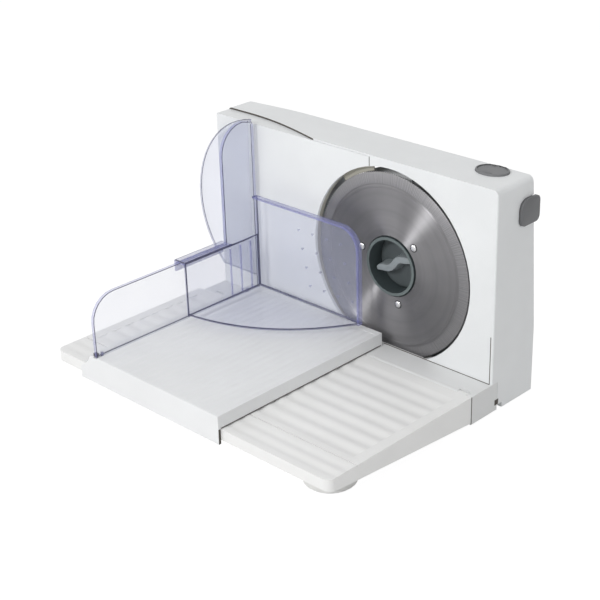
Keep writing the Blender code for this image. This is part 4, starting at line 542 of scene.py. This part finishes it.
def beside_seam(edge):
    """Whether an edge is the stop plate's long upright corner beside the seam."""
    if len(edge.link_faces) != 2 or edge.calc_length() < SEAM_LENGTH * MM or not edge.is_convex:
        return False
    one, two = ((vert.co - place(0, 0, 0)) / MM for vert in edge.verts)
    middle = (one + two) / 2
    upright = abs(one.x - two.x) < 0.2 and abs(one.y - two.y) < 0.2
    at_seam = abs(middle.y) < 0.5 and abs(middle.x - SEAM_X) < 1
    return upright and at_seam and edge.calc_face_angle() >= math.radians(SEAM_DEG)


def paint_gap_shade(node, form):
    """Paints shade on the faces that only show as a thin gap, and a line of painted shade on the stop
    plate's corner at the seam.
    """
    for face in form.faces:
        spot = (face.calc_center_median() - place(0, 0, 0)) / MM
        if in_painted_gap_shade(node, spot, face.normal):
            # The gap's dark face is painted shade.
            face.material_index = 1
    if node == "stop_plate":
        # A narrow bevel in painted shade marks the seam.
        bmesh.ops.bevel(form, geom=[e for e in form.edges if beside_seam(e)], offset=SEAM_LINE * MM,
                        offset_type="OFFSET", affect="EDGES", segments=1, profile=0.5, material=1,
                        clamp_overlap=True)


# The hub's front ring lies no deeper than this behind the housing's front face.
HUB_RING_DEPTH = 1.3


def painted_lit_ring(form):
    """Gives the hub's front ring its own paler material, the painted-light copy of the hub's nylon."""
    for face in form.faces:
        near = depth(face.calc_center_median().y) < HUB_RING_DEPTH
        face.material_index = 1 if near and face.normal.y < -FACING_SHARE else 0


def fine_shape(node, form):
    """Shapes one piece's fine detail; returns the materials that it needs beside its own."""
    if node == "carriage_table":
        deepen_ripples(form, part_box(node)[1].z)
    if node == "base_platform":
        front_strip_waves(form)
    if node == "dial_spindle":
        resize_round(form, node, (0, 2), SPINDLE_SHARE)
    if node.startswith("front_foot"):
        resize_round(form, node, (0, 1), FOOT_SHARE)
    if node == "top_button":
        dish(form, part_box(node)[1].z)
    if node == "carriage_guard":
        clear_plate(form, GUARD_LINE)
        return [RIM, EDGE_PAINTED_SHADE, FINGER_SHEET, PIP]
    if node == "pusher":
        clear_plate(form, PUSHER_LINE)
        return [RIM, EDGE_PAINTED_SHADE, PUSHER_SHEET, PIP]
    # These pieces get painted shade in their thin gaps.
    if node in PAINTED_GAP_NODES:
        paint_gap_shade(node, form)
        return [GAP_PAINTED_SHADE]
    if node == "blade_hub":
        painted_lit_ring(form)
        return [HUB_RIM_PAINTED_LIGHT]
    return []


# Body, material and nodes of the pieces that are dressed copies of their solids.
DRESS = (
    ("housing", WHITE, "housing_shell"),
    ("housing", INNER_GREY, "inner_frame"),
    ("housing", WHITE, "rear_cover slice_ramp"),
    ("housing", STEEL, "cover_screw_1 cover_screw_2 cover_screw_3 cover_screw_4"),
    ("housing", BRASS, "spindle_bush"),
    ("housing", STEEL, "motor_can motor_bracket"),
    ("housing", BLACK, "switch_body"),
    ("housing", RUBBER, "cord_gland"),
    # The sill's greyer tone is painted shade.
    ("housing", SILL_PAINTED_SHADE, "hinge_sill"),
    ("housing", STEEL, "hinge_pin_1 hinge_pin_2"),
    ("housing", RUBBER, "rear_foot_1 rear_foot_2"),
    ("stop_plate", WHITE, "stop_plate"),
    ("stop_plate", STEEL, "guide_rod_1 guide_rod_2"),
    ("thickness_dial", WHITE, "thickness_dial"),
    ("thickness_dial", STEEL, "dial_spindle"),
    # The hub's dark nylon is painted shade in its cup.
    ("blade", CUP_PAINTED_SHADE, "blade_hub"),
    ("blade", STEEL, "blade_spindle"),
    ("blade", INNER_GREY, "worm_wheel"),
    ("blade", STEEL, "spindle_clip"),
    ("motor_rotor", STEEL, "motor_shaft"),
    ("motor_rotor", COPPER, "motor_core"),
    ("motor_rotor", STEEL, "motor_worm"),
    ("top_button", KEY_GREY, "top_button"),
    ("side_button", SIDE_GREY, "side_button"),
    ("base", BASE_WHITE, "base_platform"),
    # The feet's darker white is painted shade.
    ("base", FOOT_PAINTED_SHADE, "front_foot_1 front_foot_2"),
    ("carriage_runner", INNER_GREY, "carriage_runner"),
    ("carriage", TABLE_WHITE, "carriage_table"),
    ("carriage", GUARD_SHEET, "carriage_guard"),
    ("carriage", STEEL, "guard_pin_1 guard_pin_2"),
    ("pusher", PUSHER_SHEET, "pusher"),
)


def dress_solids():
    """Puts each solid's copy in its real finish, with the fine shape that the solid leaves out."""
    for body, material, nodes in DRESS:
        for node in nodes.split():
            form = cad_copy(node)
            materials = [material] + fine_shape(node, form)
            angle = RIPPLE_DEG if node == "carriage_table" else SHARP_DEG
            finish_piece(node + "_moulding", form, body, materials, angle, [node])


# A turned profile starts this far from the axis, so that its first and last rings close there.
AXIS_GAP = 0.001


def spun(profile, steps):
    """A closed (radius, depth) profile in millimetres, spun round the blade axis."""
    form = bmesh.new()
    ring = [form.verts.new(place(r, y, BLADE_HEIGHT)) for r, y in profile]
    edges = closed_ring(form, ring)
    bmesh.ops.spin(form, geom=ring + edges, cent=BLADE_CENTRE, axis=(0, 1, 0),
                   angle=2 * math.pi, steps=steps, use_merge=True, use_duplicate=False)
    bmesh.ops.remove_doubles(form, verts=form.verts, dist=WELD)
    bmesh.ops.recalc_face_normals(form, faces=form.faces)
    return form


# The blade: its teeth, the play round the hub, the pressed ring's radius as a share of the blade's
# with the ring's section from there, and the ground edge with its land and rear chamfer.
TEETH = 216
TOOTH_DEPTH = 1.0
HUB_PLAY = 1.0
RING_SHARE = 0.868
RING_SECTION = ((-3.2, 0.0), (-2.6, -0.25), (-1.2, -0.25), (-0.4, 0.12), (0.4, 0.12), (1.0, 0.0))
BEVEL_START = 1.2
GRIND_WIDTH = 2.0
GRIND_DEPTH = 0.75
EDGE_LAND = 0.3
REAR_CHAMFER = 1.2
BLADE_DEG = 20.0


def blade():
    """The serrated disc: a flat ground middle, a pressed ring, a long bevel and fine teeth."""
    low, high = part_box("blade_disc")
    front = depth(low.y)
    back = depth(high.y)
    edge = BLADE_RADIUS / MM
    inner = HUB_RADIUS + HUB_PLAY
    ring = edge * RING_SHARE
    profile = [(inner, front)]
    profile += [(ring + r, front + y) for r, y in RING_SECTION]
    profile += [(edge - GRIND_WIDTH, front + GRIND_DEPTH), (edge, back - EDGE_LAND), (edge, back),
                (edge - REAR_CHAMFER, back), (inner, back)]
    form = spun(profile, TEETH * 2)
    for vert in form.verts:
        reach = vert.co - BLADE_CENTRE
        radius = math.hypot(reach.x, reach.z)
        if radius > (edge - EDGE_LAND) * MM:
            tooth = round(math.atan2(reach.z, reach.x) / (math.pi / TEETH))
            if tooth % 2:
                vert.co -= Vector((reach.x, 0, reach.z)) / radius * TOOTH_DEPTH * MM
    for face in form.faces:
        spot = face.calc_center_median() - BLADE_CENTRE
        outside = math.hypot(spot.x, spot.z) > (ring + BEVEL_START) * MM
        face.material_index = 1 if outside else 0
    finish_piece("blade_disc_ground", form, "blade", [BLADE, BEVEL], BLADE_DEG, ["blade_disc"])


# A rivet's head as (radius, depth), its shank, and where its dark ring starts.
RIVET_HEAD = ((AXIS_GAP, 0.9), (1.5, 0.95), (2.4, 1.2), (3.0, 1.7), (3.1, 2.05), (3.7, 2.1), (3.7, 2.5))
RIVET_SHANK = 1.4
RIVET_RING = 3.1
RIVET_STEPS = 24
RIVET_DEG = 30.0


def rivets():
    """Three bright domed rivet heads, each in its own dark ring."""
    for n in (1, 2, 3):
        low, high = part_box(f"blade_rivet_{n}")
        x = ((low.x + high.x) / 2 - BLADE_X) / MM
        z = (low.z + high.z) / 2 / MM
        back = depth(high.y)
        centre = place(x, 0, z)
        form = bmesh.new()
        profile = [*RIVET_HEAD, (RIVET_SHANK, RIVET_HEAD[-1][1]), (RIVET_SHANK, back), (AXIS_GAP, back)]
        verts = [form.verts.new(centre + Vector((r * MM, y * MM, 0))) for r, y in profile]
        edges = [form.edges.new(pair) for pair in zip(verts, verts[1:])]
        bmesh.ops.spin(form, geom=verts + edges, cent=centre, axis=(0, 1, 0), angle=2 * math.pi,
                       steps=RIVET_STEPS, use_merge=True, use_duplicate=False)
        bmesh.ops.remove_doubles(form, verts=form.verts, dist=2 * AXIS_GAP * MM)
        bmesh.ops.recalc_face_normals(form, faces=form.faces)
        for face in form.faces:
            reach = face.calc_center_median() - centre
            face.material_index = 1 if math.hypot(reach.x, reach.z) > RIVET_RING * MM else 0
        finish_piece(f"rivet_{n}_domed", form, "blade", [RIVET, BLACK], RIVET_DEG, [f"blade_rivet_{n}"])


# The knob's plate as (radius, depth from its front rim), its thickness and its stem behind it.
PLATE_FACE = ((AXIS_GAP, 0.6), (14, 0.6), (19.5, 0.3), (21.5, 0), (22.9, 0.15), (23.5, 0.8))
PLATE_THICKNESS = 3.0
STEM_RADIUS = 4.0
STEM_LENGTH = 7.0
KNOB_STEPS = 96
KNOB_DEG = 38.0

# The S of the grip as (x, z) from the blade's axis, its half width, how its ends narrow, and its
# rows from the plate outwards as (height, growth of the half width).
GRIP_PATH = (
    (-18.6, -7.6), (-16.2, -6.4), (-13.2, -5.6), (-10.2, -5.3), (-7.2, -4.9), (-4.2, -3.6), (-1.8, -1.4),
    (0.0, 0.6), (1.6, 3.0), (3.8, 5.2), (6.6, 6.4), (9.6, 7.0), (12.6, 7.6), (15.6, 8.0), (18.2, 7.6),
)
GRIP_HALF = 3.1
GRIP_END_SHARES = (0.62, 0.9)
GRIP_ROWS = ((-0.7, 1.0), (5.0, 0.3), (9.6, 0.0), (10.3, -0.35), (10.5, -0.9))
GRIP_START = 0.3


def grip_row(form, level, grow):
    """The S's outline at one depth, as a closed row of vertices."""
    right = []
    left = []
    last = len(GRIP_PATH) - 1
    for i, (x, z) in enumerate(GRIP_PATH):
        ahead = Vector(GRIP_PATH[min(i + 1, last)]) - Vector(GRIP_PATH[max(i - 1, 0)])
        side = Vector((-ahead.y, ahead.x)).normalized()
        end = min(i, last - i)
        share = GRIP_END_SHARES[end] if end < len(GRIP_END_SHARES) else 1.0
        half = GRIP_HALF * share + grow
        for row, sign in ((right, -1), (left, 1)):
            spot = place(x + sign * side.x * half, level, BLADE_HEIGHT + z + sign * side.y * half)
            row.append(form.verts.new(spot))
    return right + left[::-1]


def s_grip(plate):
    """The raised S-shaped grip, lofted through its rows and closed at both ends, as a mesh."""
    form = bmesh.new()
    rows = [grip_row(form, plate - height, grow) for height, grow in GRIP_ROWS]
    for one, two in zip(rows, rows[1:]):
        bmesh.ops.bridge_loops(form, edges=closed_ring(form, one) + closed_ring(form, two))
    for row in (rows[0], rows[-1]):
        bmesh.ops.contextual_create(form, geom=closed_ring(form, row))
    bmesh.ops.recalc_face_normals(form, faces=form.faces)
    mesh = bpy.data.meshes.new("grip")
    form.to_mesh(mesh)
    form.free()
    return mesh


def knob():
    """The blade lock: a dished plate with an S-shaped grip, narrower towards its top."""
    low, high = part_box("lock_knob")
    tip = depth(high.y)
    rear = tip - STEM_LENGTH
    plate = rear - PLATE_THICKNESS
    profile = [(r, plate + y) for r, y in PLATE_FACE]
    profile += [(PLATE_FACE[-1][0], rear), (STEM_RADIUS, rear), (STEM_RADIUS, tip), (AXIS_GAP, tip)]
    form = spun(profile, KNOB_STEPS)
    grip = s_grip(plate)
    form.from_mesh(grip)
    bpy.data.meshes.remove(grip)
    for face in form.faces:
        raised = depth(face.calc_center_median().y) < plate - GRIP_START
        face.material_index = 1 if raised else 0
    finish_piece("lock_knob_moulding", form, "lock_knob", [KNOB_GREY, GRIP_GREY], KNOB_DEG, ["lock_knob"])


# The blade's opening lies a little above the blade; its bars have a facet every two degrees.
OPENING_RISE = 1.8
BAR_STEP_DEG = 2

# Name, body, material, radii, depths, first angle and sweep in degrees of the bars round the
# opening: the stop plate's returned edge, its short lip and a shroud behind the gap in two parts,
# the second one inside the way of the lip.
OPENING_BARS = (
    # The returned edge and the lip carry the painted half shade.
    ("opening_wall", "stop_plate", WALL_PAINTED_SHADE, (87.05, 88.4), (2.2, 7.5), 104.8, 128),
    ("opening_lip", "stop_plate", WALL_PAINTED_SHADE, (81.6, 87.0), (6.2, 7.5), 105.5, 26),
    ("well_shroud_1", "housing", WHITE, (66, 86.5), (19.6, 21.6), 84, 20),
    ("well_shroud_2", "housing", WHITE, (66, 81.4), (19.6, 21.6), 104.2, 36),
)


def opening_bars():
    """The bars that are swept round part of the blade's opening."""
    centre = place(0, 0, BLADE_HEIGHT + OPENING_RISE)
    for name, body, material, (inner, outer), (front, back), first, sweep in OPENING_BARS:
        form = bmesh.new()
        side = math.cos(math.radians(first))
        up = math.sin(math.radians(first))
        section = ((inner, front), (outer, front), (outer, back), (inner, back))
        verts = [form.verts.new(centre + Vector((side * r, y, up * r)) * MM) for r, y in section]
        edges = closed_ring(form, verts)
        form.faces.new(verts)
        turned = bmesh.ops.spin(form, geom=verts + edges, cent=centre, axis=(0, -1, 0),
                                angle=math.radians(sweep), steps=sweep // BAR_STEP_DEG,
                                use_duplicate=False)
        end = [part for part in turned["geom_last"] if isinstance(part, bmesh.types.BMVert)]
        bmesh.ops.contextual_create(form, geom=end)
        bmesh.ops.recalc_face_normals(form, faces=form.faces)
        finish_piece(name, form, body, [material])


# Name, body and two corners of the thin boxes of painted shade: the front panel's right seam, the line
# over the sill, the hinge's slot and seam on the right side, the carriage's gap and the guard's foot.
PAINTED_SHADE_MARKS = (
    ("panel_seam_painted_shade", "housing", (109.0, -0.12, 29.0), (109.7, 0.3, 72.0)),
    ("sill_seam_painted_shade", "housing", (-6.0, -0.45, 28.3), (109.7, 0.2, 28.85)),
    ("hinge_slot_painted_shade", "housing", (111.5, 4.6, 7.6), (112.1, 9.4, 12.4)),
    ("hinge_seam_painted_shade", "housing", (111.6, -27.0, 3.2), (112.0, -26.2, 28.2)),
    ("carriage_gap_painted_shade", "carriage", (-4.7, -197.0, 28.8), (-4.4, -6.0, 29.6)),
    ("guard_foot_painted_shade", "carriage", (-161.2, -198.4, 40.6), (-157.6, -195.4, 43.4)),
)


def painted_shade_marks():
    """Thin boxes of painted shade that stand for the dark of narrow gaps at the seams and slots."""
    for name, body, low, high in PAINTED_SHADE_MARKS:
        form = bmesh.new()
        bmesh.ops.create_cube(form, size=1.0)
        low, high = place(*low), place(*high)
        bmesh.ops.scale(form, vec=high - low, verts=form.verts)
        bmesh.ops.translate(form, vec=(low + high) / 2, verts=form.verts)
        # Each box is a painted shadow in the painted gap shade.
        finish_piece(name, form, body, [GAP_PAINTED_SHADE])


# The floor's size in metres, its grey, its glow and how much of it the camera sees, and the
# world's strength as light and as the background.
FLOOR_SIZE = 3.0
FLOOR_GREY = 0.86
FLOOR_GLOW = 1.12
GLOW_SHARE = 0.86
WORLD_LIGHT = 0.36
WORLD_SEEN = 1.0

# The soft lamps: name, place and width in metres, and power in watts; all aim at one height.
LAMPS = (
    ("key_softbox", (0.10, -1.75, 1.15), 0.34, 17.0),
    ("left_softbox", (-1.4, -1.1, 0.9), 1.6, 7.5),
    ("fill_softbox", (1.6, -0.5, 0.9), 1.2, 4.6),
    ("top_softbox", (0.1, 0.3, 1.9), 1.8, 6.5),
)
LAMP_AIM = Vector((0, 0, 0.08))


def looked_at(tree):
    """A socket that is 1 where the camera sees a surface, straight, mirrored or through glass."""
    path = add(tree, "LightPath")
    seen = add(tree, "Math", {0: path.outputs["Is Camera Ray"], 1: path.outputs["Is Glossy Ray"]},
               operation="MAXIMUM")
    seen = add(tree, "Math", {0: seen.outputs[0], 1: path.outputs["Is Transmission Ray"]},
               operation="MAXIMUM")
    return seen.outputs[0]


def pale_floor():
    """A pale matt floor that holds the shadow and glows to white where it is looked at."""
    form = bmesh.new()
    bmesh.ops.create_grid(form, x_segments=1, y_segments=1, size=FLOOR_SIZE)
    mesh = bpy.data.meshes.new("floor")
    form.to_mesh(mesh)
    form.free()
    floor = bpy.data.objects.new("floor", mesh)
    bpy.context.scene.collection.objects.link(floor)
    material, tree = new_material("pale_floor")
    matt = add(tree, "BsdfDiffuse", {"Color": (FLOOR_GREY, FLOOR_GREY, FLOOR_GREY, 1)})
    glow = add(tree, "Emission", {"Color": (1, 1, 1, 1), "Strength": FLOOR_GLOW})
    share = add(tree, "MapRange", {"Value": looked_at(tree), "To Min": 0.0, "To Max": GLOW_SHARE})
    mix = add(tree, "MixShader", {0: share.outputs[0], 1: matt.outputs[0], 2: glow.outputs[0]})
    add(tree, "OutputMaterial", {"Surface": mix.outputs[0]})
    mesh.materials.append(material)


def white_world():
    """A background that is white where it is looked at and lights the object more gently."""
    world = bpy.data.worlds.new("studio")
    bpy.context.scene.world = world
    world.use_nodes = True
    tree = world.node_tree
    tree.nodes.clear()
    strength = add(tree, "MapRange", {
        "Value": looked_at(tree), "To Min": WORLD_LIGHT, "To Max": WORLD_SEEN,
    })
    ground = add(tree, "Background", {"Color": (1, 1, 1, 1), "Strength": strength.outputs[0]})
    add(tree, "OutputWorld", {"Surface": ground.outputs[0]})


def soft_lamps():
    """Plain square softboxes round the object."""
    for name, spot, size, power in LAMPS:
        lamp = bpy.data.lights.new(name, "AREA")
        lamp.size = size
        lamp.energy = power
        holder = bpy.data.objects.new(name, lamp)
        holder.location = spot
        aim = LAMP_AIM - Vector(spot)
        holder.rotation_euler = aim.to_track_quat("-Z", "Y").to_euler()
        bpy.context.scene.collection.objects.link(holder)


# The photograph's view: where the camera stands, which way it looks, and its lens.
CAMERA_SPOT = (725.44, -836.45, 591.84)
CAMERA_FORWARD = (-0.62727, 0.64529, -0.43604)
CAMERA_UP = (-0.28576, 0.33013, 0.89964)
LENS = 85.0
SENSOR_WIDTH = 36.0
LENS_SHIFT = (-0.028, 0.031)


def camera():
    """The photograph's view, solved from the straight edges of housing, base and carriage."""
    data = bpy.data.cameras.new("camera")
    data.lens = LENS
    data.sensor_width = SENSOR_WIDTH
    data.shift_x, data.shift_y = LENS_SHIFT
    holder = bpy.data.objects.new("camera", data)
    forward = Vector(CAMERA_FORWARD).normalized()
    right = forward.cross(Vector(CAMERA_UP)).normalized()
    turn = Matrix((right, right.cross(forward), -forward)).transposed()
    holder.matrix_world = Matrix.Translation(place(*CAMERA_SPOT)) @ turn.to_4x4()
    bpy.context.scene.collection.objects.link(holder)
    bpy.context.scene.camera = holder


bpy.context.scene.view_settings.view_transform = "Standard"
camera()
pale_floor()
white_world()
soft_lamps()
dress_solids()
blade()
rivets()
knob()
opening_bars()
painted_shade_marks()
